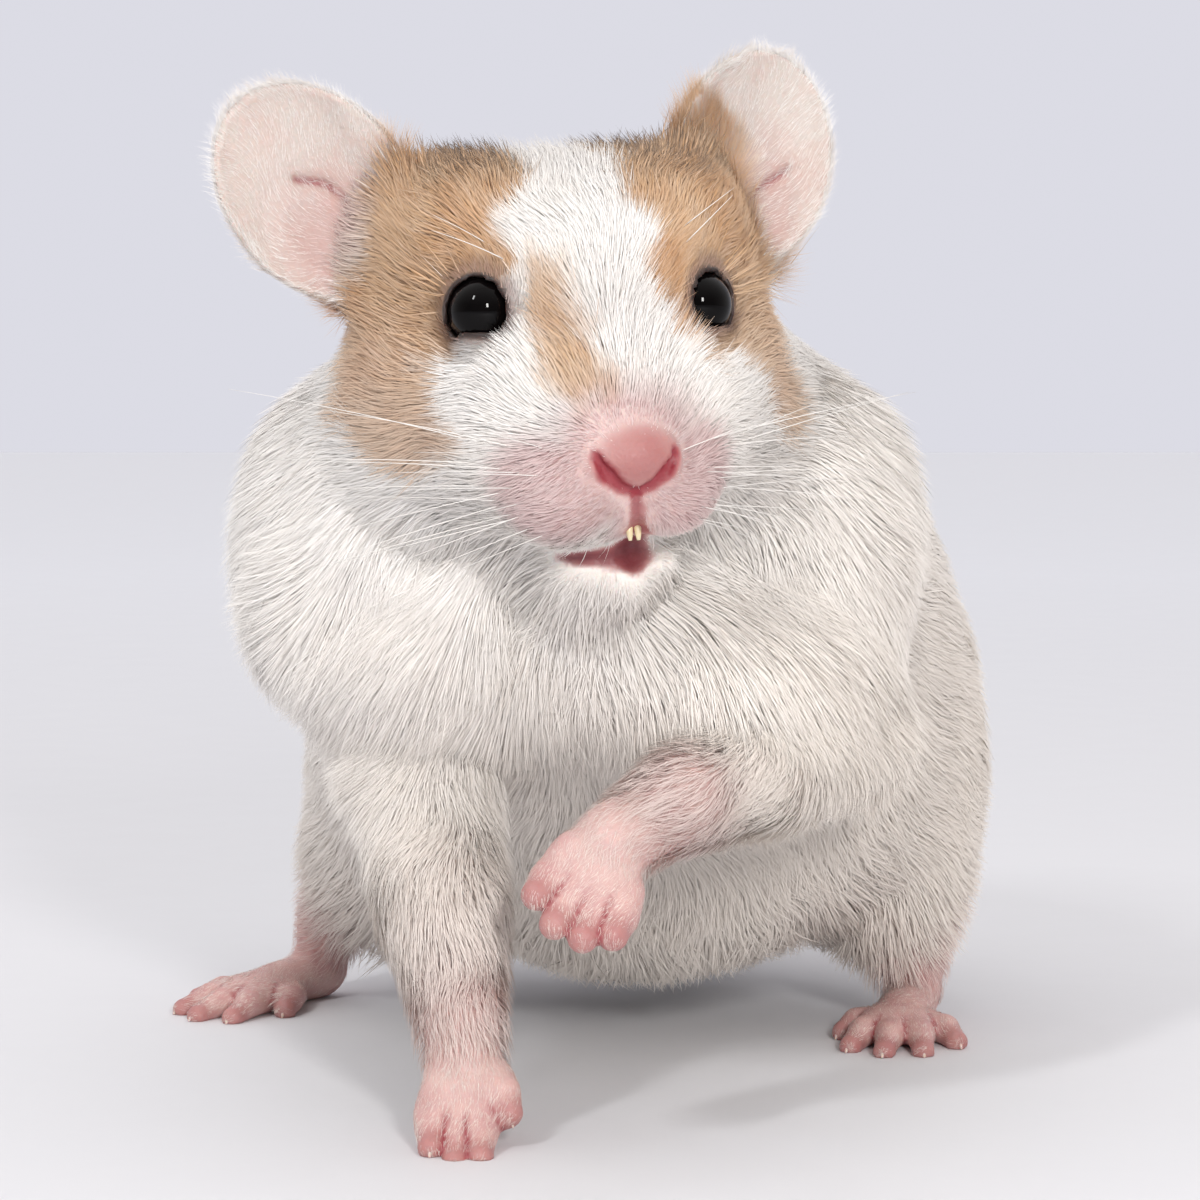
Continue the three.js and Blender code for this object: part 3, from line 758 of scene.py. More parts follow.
# Values from 0 to 1 over the skin that its finish and its coat are made from.
def skinZones():
    local = toHead(skinPoints)
    face = np.linalg.norm(local - (0, -11, -4), axis=1) < 17
    lidGap = np.full(len(local), 9.0)
    for side, distance in zip((-1, 1), eyeDistances(local)):
        gap = lidOpening(local, side)
        offset = local - np.array(faceShape["eyes"][side])
        ahead = offset @ mirrored(eyeOut, side) > 0
        lidGap = np.minimum(lidGap, np.where(ahead & (distance < 8), np.abs(gap), 9.0))
    mouth, nostril, cleft = mouthField(local), nostrilField(local), cleftField(local)
    noseGap = ballField(local, faceShape["nose"][0], np.array(faceShape["nose"][1]) + (0.3, 0.5, 0.2))
    for side in (-1, 1):
        wing = onNose(faceShape["noseWing"][0], side)
        noseGap = np.minimum(noseGap, ballField(local, wing, np.array(faceShape["noseWing"][1]) + 0.2))
    nose = ramp(-noseGap, -0.7, 0.4) * (local[:, 1] < -13.5)
    crease = np.zeros(len(local))
    tips = np.zeros(len(local))
    for name, paw in pawShape.items():
        near = np.nonzero(share[name] > 0.02)[0]
        between, end = toeZones(skinPoints[near], paw)
        crease[near] = np.maximum(crease[near], between)
        tips[near] = np.maximum(tips[near], end)
    inner = np.zeros(len(local))
    line = np.zeros(len(local))
    edge = np.zeros(len(local))
    for side, name in ((-1, "ear_right"), (1, "ear_left")):
        near = np.nonzero(share[name] > 0.02)[0]
        across, up, front = earPlace(skinPoints[near], side)
        inner[near] = share[name][near] * ramp(-np.hypot((across - 0.2) / 0.7, (up + 0.35) / 0.75), -1.3, -0.4)
        inner[near] *= ramp(front, -0.1, 0.2)
        line[near] = 0.75 * ramp(-earCrease(across, up, side), -0.05, -0.01) * ramp(front, -0.1, 0.2) * share[name][near]
        edge[near] = share[name][near] * ramp(np.hypot(across, up), 0.84, 0.97)
    hocks = (share["hindleg_left"] + share["hindleg_right"]) * ramp(-skinPoints[:, 2], -18, -11)
    pads = np.zeros(len(local))
    for side in (-1, 1):
        pads = np.maximum(pads, ramp(-ballField(local, mirrored((4.0, -14.5, -8.4), side), (3.6, 4.0, 3.2)), -1.4, 0.4))
    return {
        "blush": np.max(
            [pads, 0.9 * ramp(-noseGap, -3.6, -0.3), 0.8 * rootPink(local), ramp(-cleft, -2.2, -0.2)], axis=0
        ) * (1 - nose),
        "gold": goldAt(skinPoints),
        "bare": np.clip(
            barePaws + ears + nose + ramp(-lidGap, -0.5, -0.2) * face + ramp(-np.minimum(mouth, cleft), -0.3, -0.1), 0, 1
        ),
        # darker red skin in the nostrils, cleft, mouth edge, toe creases and ear fold, with painted shade in these
        # hollows
        "foldRedAndShade": np.clip(
            ramp(-nostril, -0.55, 0.1) + 0.8 * ramp(-cleft, -0.4, 0.1) + ramp(-mouth, -0.35, 0.1) + crease + line, 0, 1
        ),
        # painted shade inside the open mouth
        "mouth": ramp(-mouth, -0.25, 0.1),
        "lids": ramp(-lidGap, -0.85, -0.3) * face,
        # painted shade round the eye openings
        "rim": 0.75 * ramp(-lidGap, -1.5, -0.4) * face,
        "rosy": np.clip(nose * 0.9 + tips + inner * 0.4 + barePaws * 0.12, 0, 1),
        "ear": ears,
        "edge": edge,
        # cream belly and painted shade, low on the body and on its left side
        "creamAndShade": creamAndShadeAt(skinPoints),
        "wrist": np.clip((legs - share["tail"]) * ramp(-skinDepth, -2.5, -0.7) + hocks, 0, 1),
    }


def toeZones(points, paw):
    local = (points - np.array(paw["place"])) @ pawAxes(paw)
    toes, tips = [], []
    for toe in paw["toes"]:
        root, knuckle, tip = toeJoints(toe, paw["hand"])
        toes.append(chainField(local, [root, knuckle, tip], [1.0, 1.05, 0.95]))
        tips.append(np.linalg.norm(local - tip, axis=1))
    toes = np.sort(toes, axis=0)
    between = ramp(-(toes[1] - toes[0]), -0.55, -0.1) * ramp(-toes[1], -1.0, -0.3)
    return 0.9 * between, 0.6 * ramp(-np.min(tips, axis=0), -2.0, -0.9)


zones = skinZones()
for zoneName, values in zones.items():
    addValues(skin, zoneName, values)
skinBare = zones["bare"]


# How much shorter the coat is round the nose, lips and eyes.
def coatShortness():
    local = toHead(skinPoints)
    short = 0.35 + 0.65 * ramp(np.linalg.norm(local - (0.3, -17.0, -6.2), axis=1), 3.0, 8.0)
    short *= 0.5 + 0.5 * ramp(mouthField(local), 0.1, 2.5)
    for side in (-1, 1):
        short *= 0.32 + 0.68 * ramp(lidOpening(local, side), 0.2, 2.4)
    return short


skinShort = coatShortness()
crown = ramp(toHead(skinPoints)[:, 2], 8.5, 11.5) * share["head"] * (1 - ears)


# Random places on the skin with the values of its points there.
def scatter(rng, count, density):
    a, b, c = (skinPoints[skinTriangles[:, k]] for k in range(3))
    area = np.linalg.norm(np.cross(b - a, c - a), axis=1) / 2
    weight = np.cumsum(area * density[skinTriangles].mean(axis=1))
    chosen = np.searchsorted(weight, np.sort(rng.uniform(0, weight[-1], count)))
    first, second = rng.uniform(0, 1, (2, count))
    first = np.sqrt(first)
    parts = np.stack([1 - first, first * (1 - second), first * second], axis=1)

    def take(values):
        corners = values[skinTriangles[chosen]]
        return (parts.reshape(parts.shape + (1,) * (corners.ndim - 2)) * corners).sum(axis=1)

    return take, (parts[:, :, None] * skinUnwrap[chosen]).sum(axis=1)


# How far a place lies from the openings of the eyes, nostrils, mouth and lip, which no hair covers.
def openGap(points):
    local = toHead(points)
    lids = [lidOpening(local, side) for side in (-1, 1)]
    return np.min(lids, axis=0), np.min([mouthField(local), nostrilField(local), cleftField(local)], axis=0)


def heightOver(points):
    place = (points - heights["low"]) / heights["step"]
    values = heights["values"]
    base = np.clip(np.floor(place).astype(int), 0, np.array(values.shape) - 2)
    part = np.clip(place - base, 0, 1)
    total = np.zeros(len(points))
    for corner in range(8):
        step = np.array([corner >> 2 & 1, corner >> 1 & 1, corner & 1])
        weight = np.prod(np.where(step, part, 1 - part), axis=1)
        total += weight * values[tuple((base + step).T)]
    return total


coatPieces = {
    # strands, width at the root and bare length in mm, length for each mm of depth, gathering of tips
    "face": {"strands": 62000, "width": 0.12, "length": 0.8, "stretch": 1.9, "gather": 0.13},
    "crown": {"strands": 46000, "width": 0.13, "length": 0.8, "stretch": 1.8, "gather": 0.16},
    "chest_right": {"strands": 62000, "width": 0.14, "length": 1.0, "stretch": 1.9, "gather": 0.15},
    "chest_left": {"strands": 62000, "width": 0.14, "length": 1.0, "stretch": 1.9, "gather": 0.15},
    "left_side": {"strands": 54000, "width": 0.17, "length": 1.0, "stretch": 1.9, "gather": 0.22},
    "right_side": {"strands": 50000, "width": 0.17, "length": 1.0, "stretch": 1.9, "gather": 0.22},
    "back": {"strands": 54000, "width": 0.17, "length": 1.0, "stretch": 1.9, "gather": 0.22},
    "belly": {"strands": 30000, "width": 0.17, "length": 1.5, "stretch": 1.9, "gather": 0.22},
    "legs": {"strands": 46000, "width": 0.09, "length": 1.0, "stretch": 1.5, "gather": 0.12},
    "paws": {"strands": 12000, "width": 0.05, "length": 1.0, "stretch": 1.0, "gather": 0.0},
    "ears": {"strands": 26000, "width": 0.045, "length": 1.1, "stretch": 1.0, "gather": 0.05},
}


def coatRegions():
    local = toHead(skinPoints)
    furred = (1 - skinBare) ** 2
    leg = ramp(legs + barePaws, 0.35, 0.65)
    head = share["head"] / np.maximum(share["head"] + share["body"], 1e-6) * (1 - leg)
    body = 1 - leg - head
    face = ramp(-local[:, 1], -0.5, 3.5)
    front = ramp(-skinPoints[:, 1], -31, -21) * ramp(-skinOut[:, 1], -0.5, -0.2)
    over, under = ramp(skinOut[:, 2], 0.45, 0.75), ramp(-skinOut[:, 2], 0.3, 0.6)
    sides = body * (1 - front) * (1 - over) * (1 - under)
    left = ramp(skinPoints[:, 0], -3, 3)
    regions = {
        "face": head * face,
        "crown": head * (1 - face),
        "chest_right": body * front * (1 - left),
        "chest_left": body * front * left,
        "left_side": sides * left,
        "right_side": sides * (1 - left),
        "back": body * (1 - front) * over,
        "belly": body * (1 - front) * under,
        "legs": leg * (1 - 0.55 * zones["wrist"]),
    }
    regions = {name: region * furred for name, region in regions.items()}
    regions["paws"] = barePaws * (1 - zones["foldRedAndShade"]) * ramp(skinOut[:, 2] + 0.4 * (skinPoints[:, 2] > 12), -0.3, 0.2)
    regions["ears"] = ears * (0.35 + 1.2 * zones["gold"] + 0.8 * zones["edge"]) * (1 - 0.6 * zones["rosy"])
    return regions


def growCoat(name, density, look, seed):
    rng = np.random.default_rng(seed)
    take, roots = scatter(rng, look["strands"], density)
    place, out, flow, depth = take(skinPoints), unit(take(skinOut)), take(skinFlow), take(skinDepth)
    short, raised, wrist, leaf = take(skinShort), take(crown), take(zones["wrist"]), take(ears)
    count = len(place)
    length = (look["length"] + look["stretch"] * depth) * rng.uniform(0.7, 1.2, count) * short
    gold = goldAt(place + 0.5 * flattened(flow, out) * length[:, None])
    length *= 1 + leaf * (1.3 * gold + 0.5 * take(zones["edge"]))
    depth = np.maximum(depth * (0.35 + 0.65 * short), 0.12 + 0.3 * leaf)
    if name == "face":
        lids, lips = np.maximum(openGap(place), 0)
        length = np.min([length, 0.6 + 0.8 * lids, 0.3 + 0.7 * lips], axis=0)
        depth = np.min([depth, 0.2 + 0.4 * lids, 0.1 + 0.3 * lips], axis=0)
        for part in (1, 0.6, 1, 0.6, 1):
            lids, lips = openGap(place + flattened(flow, out) * part * length[:, None] + 0.3 * out)
            length[(lids < 0.2) | (lips < 0.3)] *= 0.6
    # On the crown some long dark-tipped hairs stand up out of the rest.
    standing = raised * (rng.uniform(0, 1, count) < 0.3)
    depth += standing * rng.uniform(0.5, 1.3, count)
    turn = 0.14 * rng.normal(size=count) + 0.35 * ripple(place, 7, seed + 50)
    flow = flattened(flow, out)
    flow = flow * np.cos(turn)[:, None] + np.cross(out, flow) * np.sin(turn)[:, None]
    rise = depth * rng.uniform(0.55, 1.05, count)
    tip = place + flow * length[:, None] + out * rise[:, None]
    tip += out * np.clip(rise - heightOver(tip), -0.8, 2)[:, None]
    # Tips of neighbouring hairs gather into locks.
    locks = max(count // 11, 1)
    tree = KDTree(locks)
    for index, root in enumerate(place[:: count // locks][:locks]):
        tree.insert(root, index)
    tree.balance()
    lock = np.array([tree.find(root)[1] for root in place.tolist()])
    size = np.bincount(lock, minlength=locks)[:, None]
    middleTip = np.stack([np.bincount(lock, tip[:, k], locks) for k in range(3)], axis=1) / np.maximum(size, 1)
    tip += (middleTip[lock] - tip) * (look["gather"] * (1 - standing) * rng.uniform(0.3, 1.5, count))[:, None]
    way = unit(tip - place)
    roll = rng.normal(0, 0.5, count)
    across = unit(np.cross(way, out))
    across = across * np.cos(roll)[:, None] + out * np.sin(roll)[:, None]
    width = look["width"] * rng.uniform(0.7, 1.25, count) * np.clip(0.5 + depth / 2.5, 0.6, 1.1)
    half = 0.5 * width[:, None] * across
    root = place - 0.15 * out
    middle = root + 0.5 * (tip - root) + out * (0.13 * length)[:, None]
    points = np.stack([root - half, root + half, middle - 0.6 * half, middle + 0.6 * half, tip], axis=1).reshape(-1, 3)
    points[:, 2] = np.maximum(points[:, 2], 0.05)
    faces = (np.array([(0, 1, 3), (0, 3, 2), (2, 3, 4)])[None] + 5 * np.arange(count)[:, None, None]).reshape(-1, 3)
    coat = makeObject("coat_" + name, points, faces)
    # A hair takes most of its light as the body under it does.
    shading = unit(out + 0.3 * np.cross(across, way) + 0.12 * rng.normal(size=(count, 3)))
    coat.data.normals_split_custom_set_from_vertices(np.repeat(shading, 5, axis=0))
    shade = np.random.default_rng(seed + 9).normal(0, 1, locks)[lock] * 0.6 + rng.normal(0, 0.5, count)
    ticked = np.maximum(standing, raised * (rng.uniform(0, 1, count) < 0.35)) * (0.3 + 0.7 * ramp(gold, 0.2, 0.6))
    blush = np.clip(0.75 * wrist + take(zones["blush"]) + 0.5 * ramp(-short, -0.55, -0.3), 0, 1)
    # rim: painted shade round the eye openings
    perHair = {"gold": gold, "shade": shade, "ticked": ticked, "blush": blush, "rim": take(zones["rim"]),
              # cream belly and painted shade, low on the body and on its left side
              "creamAndShade": creamAndShadeAt(place)}
    for valueName, values in perHair.items():
        addValues(coat, valueName, np.repeat(values, 5))
    addValues(coat, "along", np.tile([0, 0, 0.5, 0.5, 1], count))
    patch = np.array([(-0.5, -0.5), (0.5, -0.5), (-0.5, 0), (0.5, 0), (0, 0.5)]) * 0.003
    spread = (roots[:, None, :] + patch[None]).reshape(-1, 2)
    layer = coat.data.uv_layers.new(name="OFBake")
    layer.data.foreach_set("uv", spread[faces.ravel()].astype(np.float32).ravel())
    coat.data.materials.append(coatFinish)
    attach(coat, "root")
    return coat


# Small steps that every finish below is put together from.
def newFinish(name):
    finish = bpy.data.materials.new(name)
    finish.use_nodes = True
    return finish, finish.node_tree, finish.node_tree.nodes["Principled BSDF"]


def plug(tree, socket, value):
    if isinstance(value, bpy.types.NodeSocket):
        tree.links.new(value, socket)
    elif isinstance(value, tuple):
        socket.default_value = (*value, 1)
    else:
        socket.default_value = value


def mixed(tree, amount, first, second, way="MIX"):
    mix = tree.nodes.new("ShaderNodeMix")
    mix.data_type = "RGBA"
    mix.blend_type = way
    plug(tree, mix.inputs[0], amount)
    plug(tree, mix.inputs[6], first)
    plug(tree, mix.inputs[7], second)
    return mix.outputs[2]


def ranged(tree, value, fromLow, fromHigh, toLow=0.0, toHigh=1.0):
    span = tree.nodes.new("ShaderNodeMapRange")
    plug(tree, span.inputs["Value"], value)
    for name, number in zip(("From Min", "From Max", "To Min", "To Max"), (fromLow, fromHigh, toLow, toHigh)):
        span.inputs[name].default_value = number
    return span.outputs["Result"]


def times(tree, first, second):
    product = tree.nodes.new("ShaderNodeMath")
    product.operation = "MULTIPLY"
    plug(tree, product.inputs[0], first)
    plug(tree, product.inputs[1], second)
    return product.outputs["Value"]


def carriedValue(tree, name):
    carried = tree.nodes.new("ShaderNodeAttribute")
    carried.attribute_name = name
    return carried.outputs["Fac"]


# Noise in the object's own place. size is the width of its spots in mm.
def speckle(tree, size, detail=3.0, stretch=None):
    place = tree.nodes.new("ShaderNodeTexCoord").outputs["Object"]
    if stretch:
        scaled = tree.nodes.new("ShaderNodeMapping")
        scaled.inputs["Scale"].default_value = stretch
        tree.links.new(place, scaled.inputs["Vector"])
        place = scaled.outputs["Vector"]
    noise = tree.nodes.new("ShaderNodeTexNoise")
    noise.inputs["Scale"].default_value = 1000 / size
    noise.inputs["Detail"].default_value = detail
    tree.links.new(place, noise.inputs["Vector"])
    return noise.outputs["Fac"]


def bumped(tree, shader, height, depth):
    bump = tree.nodes.new("ShaderNodeBump")
    bump.inputs["Strength"].default_value = 1.0
    bump.inputs["Distance"].default_value = depth * mm
    plug(tree, bump.inputs["Height"], height)
    tree.links.new(bump.outputs["Normal"], shader.inputs["Normal"])


coatColours = {
    "white": (0.92, 0.905, 0.89),
    # cream of the coat, also the colour of the painted shade low on the body and on its left side
    "creamAndShade": (0.89, 0.825, 0.76),
    "gold": (0.64, 0.41, 0.23),
    "goldDeep": (0.56, 0.3, 0.13),
    "tick": (0.09, 0.065, 0.05),
    "blush": (0.62, 0.36, 0.36),
    # painted shade round the eye openings
    "rim": (0.17, 0.11, 0.09),
}


def makeCoatFinish():
    finish, tree, shader = newFinish("white and golden coat")
    along = carriedValue(tree, "along")
    shade = ranged(tree, carriedValue(tree, "shade"), -2.0, 2.0)
    white = mixed(tree, times(tree, shade, speckle(tree, 9)), coatColours["white"], coatColours["creamAndShade"])
    # painted shade and creamy belly: the coat turns cream low on the body and on its left side
    white = mixed(tree, carriedValue(tree, "creamAndShade"), white, coatColours["creamAndShade"])
    gold = mixed(tree, ranged(tree, speckle(tree, 6), 0.4, 0.65), coatColours["gold"], coatColours["goldDeep"])
    gold = mixed(tree, times(tree, shade, 0.3), gold, coatColours["creamAndShade"])
    colour = mixed(tree, carriedValue(tree, "gold"), white, gold)
    rooted = ranged(tree, along, 0.0, 1.0, 0.95, 0.35)
    colour = mixed(tree, times(tree, carriedValue(tree, "blush"), rooted), colour, coatColours["blush"])
    tipped = times(tree, carriedValue(tree, "ticked"), ranged(tree, along, 0.45, 0.8))
    colour = mixed(tree, tipped, colour, coatColours["tick"])
    # painted shade round the eye openings
    colour = mixed(tree, times(tree, carriedValue(tree, "rim"), 0.75), colour, coatColours["rim"])
    plug(tree, shader.inputs["Base Color"], colour)
    plug(tree, shader.inputs["Roughness"], ranged(tree, shade, 0.0, 1.0, 0.45, 0.65))
    bumped(tree, shader, speckle(tree, 0.5), 0.02)
    shader.inputs["Specular IOR Level"].default_value = 0.25
    return finish


coatFinish = makeCoatFinish()

skinColours = {
    "under": (0.93, 0.88, 0.84),
    # cream under the coat, also painted shade low on the body and on its left side
    "underCreamAndShade": (0.88, 0.79, 0.72),
    "underGold": (0.58, 0.37, 0.21),
    "pink": (0.56, 0.31, 0.3),
    "pale": (0.66, 0.42, 0.39),
    "rosy": (0.36, 0.115, 0.11),
    # darker red skin in the folds and hollows, with painted shade in them
    "foldRedAndShade": (0.3, 0.025, 0.04),
    # painted shade inside the open mouth
    "mouth": (0.11, 0.005, 0.012),
    # painted shade round the eye openings
    "rim": (0.26, 0.17, 0.14),
    "lids": (0.03, 0.018, 0.015),
    "earLeaf": (0.62, 0.545, 0.5),
    "earRed": (0.6, 0.36, 0.31),
}


def makeSkinFinish():
    finish, tree, shader = newFinish("skin")
    mottled = ranged(tree, speckle(tree, 2.2, 4), 0.35, 0.65)
    bare = mixed(tree, mottled, skinColours["pink"], skinColours["pale"])
    spread = ranged(tree, speckle(tree, 4.5, 5), 0.45, 0.7)
    leaf = mixed(tree, times(tree, spread, 0.45), skinColours["earLeaf"], skinColours["earRed"])
    bare = mixed(tree, carriedValue(tree, "ear"), bare, leaf)
    # painted shade and creamy belly: the skin under the coat turns cream low on the body and on its left side
    under = mixed(tree, carriedValue(tree, "creamAndShade"), skinColours["under"], skinColours["underCreamAndShade"])
    under = mixed(tree, carriedValue(tree, "gold"), under, skinColours["underGold"])
    under = mixed(tree, carriedValue(tree, "wrist"), under, bare)
    under = mixed(tree, times(tree, carriedValue(tree, "blush"), 0.8), under, skinColours["pale"])
    colour = mixed(tree, carriedValue(tree, "bare"), under, bare)
    colour = mixed(tree, times(tree, carriedValue(tree, "rosy"), 0.85), colour, skinColours["rosy"])
    # painted shade and darker red skin in the nostrils, cleft, mouth edge, toe creases and ear fold
    colour = mixed(tree, carriedValue(tree, "foldRedAndShade"), colour, skinColours["foldRedAndShade"])
    # painted shade inside the open mouth
    colour = mixed(tree, carriedValue(tree, "mouth"), colour, skinColours["mouth"])
    # painted shade round the eye openings
    colour = mixed(tree, times(tree, carriedValue(tree, "rim"), 0.8), colour, skinColours["rim"])
    colour = mixed(tree, carriedValue(tree, "lids"), colour, skinColours["lids"])
    plug(tree, shader.inputs["Base Color"], colour)
    shader.inputs["Subsurface Weight"].default_value = 0.35
    shader.inputs["Subsurface Radius"].default_value = (1.0, 0.35, 0.25)
    shader.inputs["Subsurface Scale"].default_value = 0.9 * mm
    plug(tree, shader.inputs["Roughness"], ranged(tree, speckle(tree, 0.8), 0.3, 0.7, 0.42, 0.62))
    wrinkles = tree.nodes.new("ShaderNodeTexVoronoi")
    wrinkles.feature = "DISTANCE_TO_EDGE"
    wrinkles.inputs["Scale"].default_value = 1900
    tree.links.new(tree.nodes.new("ShaderNodeTexCoord").outputs["Object"], wrinkles.inputs["Vector"])
    bumped(tree, shader, mixed(tree, 0.5, speckle(tree, 0.45, 4), wrinkles.outputs["Distance"]), 0.09)
    return finish


regions = coatRegions()
for seed, (name, look) in enumerate(coatPieces.items()):
    region = regions[name]
    coat = growCoat(name, region.astype(float), look, 20 + seed)
    print("coat", name, int(region.sum()), len(coat.data.polygons))

skin.data.materials.append(makeSkinFinish())
fleshNodes = ["head", "neck", "trunk", "tail", "ear_left", "ear_right"] + list(legShape)[:4] + list(pawShape)
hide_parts(*fleshNodes)
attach(skin, "root")


# A closed tapering tube through places, with its ends drawn to points.
def tube(places, sizes, around=6):
    places = np.array(places, float)
    ways = unit(np.gradient(places, axis=0))
    guide = np.array((0.31, 0.17, 0.93))
    side = unit(np.cross(ways, guide))
    top = np.cross(side, ways)
    turns = np.arange(around) * 2 * pi / around
    rings = places[:, None] + np.array(sizes)[:, None, None] * (
        np.cos(turns)[None, :, None] * side[:, None] + np.sin(turns)[None, :, None] * top[:, None]
    )
    count = len(places)
    points = np.vstack([rings.reshape(-1, 3), places[:1], places[-1:]])
    faces = []
    for ring in range(count - 1):
        for k in range(around):
            a, b = ring * around + k, ring * around + (k + 1) % around
            faces += [(a, a + around, b + around), (a, b + around, b)]
    for k in range(around):
        faces.append((k, (k + 1) % around, count * around))
        last = (count - 1) * around
        faces.append((last + (k + 1) % around, last + k, count * around + 1))
    return points, np.array(faces)


def joined(parts):
    points, faces, start = [], [], 0
    for partPoints, partFaces in parts:
        points.append(partPoints)
        faces.append(np.asarray(partFaces) + start)
        start += len(partPoints)
    return np.vstack(points), np.vstack(faces)


def finished(piece, finish, slot, *nodes):
    piece.data.materials.append(finish)
    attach(piece, "root")
    if nodes:
        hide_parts(*nodes)


eyeLook = {"size": 2.7, "swell": 0.12, "around": 64, "rows": 40}  # mm; the clear front swells a little


def makeEyes():
    finish, tree, shader = newFinish("wet black eye")
    depth = mixed(tree, speckle(tree, 1.2), (0.001, 0.001, 0.0012), (0.003, 0.002, 0.002))
    plug(tree, shader.inputs["Base Color"], depth)
    plug(tree, shader.inputs["Roughness"], ranged(tree, speckle(tree, 0.7), 0.3, 0.7, 0.03, 0.05))
    shader.inputs["IOR"].default_value = 1.33
    shader.inputs["Specular IOR Level"].default_value = 0.25
    bumped(tree, shader, speckle(tree, 2.5, 1), 0.006)
    rows, around = eyeLook["rows"], eyeLook["around"]
    tilt = np.linspace(0, pi, rows)[1:-1]
    turn = np.arange(around) * 2 * pi / around
    rings = np.stack(
        [np.outer(np.sin(tilt), np.cos(turn)), np.outer(np.sin(tilt), np.sin(turn)), np.outer(np.cos(tilt), turn * 0 + 1)],
        axis=-1,
    ).reshape(-1, 3)
    ball = np.vstack([rings, [(0, 0, 1)], [(0, 0, -1)]])
    faces = []
    last = (rows - 3) * around
    for k in range(around):
        n = (k + 1) % around
        faces += [(len(rings), k, n), (len(rings) + 1, last + n, last + k)]
        for row in range(rows - 3):
            a, b = row * around + k, row * around + n
            faces += [(a, a + around, b + around), (a, b + around, b)]
    for side, node in ((-1, "eye_right"), (1, "eye_left")):
        out = mirrored(eyeOut, side)
        swell = 1 + eyeLook["swell"] / eyeLook["size"] * ramp(ball @ out, 0.55, 1.0)
        centre = np.array(faceShape["eyes"][side])
        eye = makeObject("glossy_" + node, fromHead(centre + ball * eyeLook["size"] * swell[:, None]), faces)
        finished(eye, finish, "eye_black", node)


makeEyes()

clawLook = {"length": 1.15, "size": 0.3, "curl": 0.45}  # mm


def makeClaws():
    finish, tree, shader = newFinish("horn of the claws")
    pale = mixed(tree, speckle(tree, 0.6), (0.7, 0.48, 0.42), (0.8, 0.64, 0.57))
    plug(tree, shader.inputs["Base Color"], pale)
    plug(tree, shader.inputs["Roughness"], ranged(tree, speckle(tree, 0.4), 0.3, 0.7, 0.22, 0.38))
    shader.inputs["Subsurface Weight"].default_value = 0.4
    shader.inputs["Subsurface Scale"].default_value = 0.4 * mm
    bumped(tree, shader, speckle(tree, 0.25, 2), 0.03)
    for name, paw in pawShape.items():
        claws = []
        for toe in paw["toes"]:
            root, knuckle, tip = toeJoints(toe, paw["hand"])
            ahead = unit(tip - knuckle)
            up = unit(np.cross(np.cross(ahead, (0, 0, 1)), ahead))
            start = tip + up * 0.45 + ahead * 0.1
            steps = np.linspace(0, 1, 9)[:, None]
            length = clawLook["length"] * paw.get("claws", 1)
            bend = start + ahead * length * steps - up * clawLook["curl"] * steps ** 2 * 1.6
            sizes = clawLook["size"] * (1 - steps[:, 0]) ** 0.7 + 0.015
            claws.append(tube(bend, sizes, 10))
        points, faces = joined(claws)
        points = points @ pawAxes(paw).T + np.array(paw["place"])
        points[:, 2] = np.maximum(points[:, 2], 0.05)
        finished(makeObject("claws_" + name, points, faces), finish, "skin_pink")


makeClaws()

toothLook = {"places": [(1.3, -11.8, -10.0), (1.3, -13.7, -11.0), (1.3, -14.3, -12.8)], "apart": 0.64, "size": 0.62}


def makeTeeth():
    finish, tree, shader = newFinish("ivory of the teeth")
    shaded = mixed(tree, speckle(tree, 1.0), (0.78, 0.66, 0.36), (0.86, 0.78, 0.55))
    plug(tree, shader.inputs["Base Color"], shaded)
    plug(tree, shader.inputs["Roughness"], ranged(tree, speckle(tree, 0.5), 0.3, 0.7, 0.18, 0.32))
    bumped(tree, shader, speckle(tree, 0.4, 2, (1, 1, 0.2)), 0.03)
    teeth = []
    for side in (-1, 1):
        places = np.array(toothLook["places"]) + (side * toothLook["apart"] * 0.5, 0, 0)
        steps = np.linspace(0, 1, 10)[:, None]
        curve = (1 - steps) ** 2 * places[0] + 2 * steps * (1 - steps) * places[1] + steps ** 2 * places[2]
        sizes = toothLook["size"] * np.array([0.8] * 7 + [0.72, 0.6, 0.35]) * 0.62
        teeth.append(tube(curve, sizes, 12))
    points, faces = joined(teeth)
    finished(makeObject("front_teeth", fromHead(points), faces), finish, "tooth_ivory", "incisors")


makeTeeth()

whiskerLook = {
    "rows": 5, "each": 4,  # on each whisker pad
    "length": (9, 21),  # mm, short ones in front
    "size": 0.034,
    "brow": 2, "browLength": 7,
}


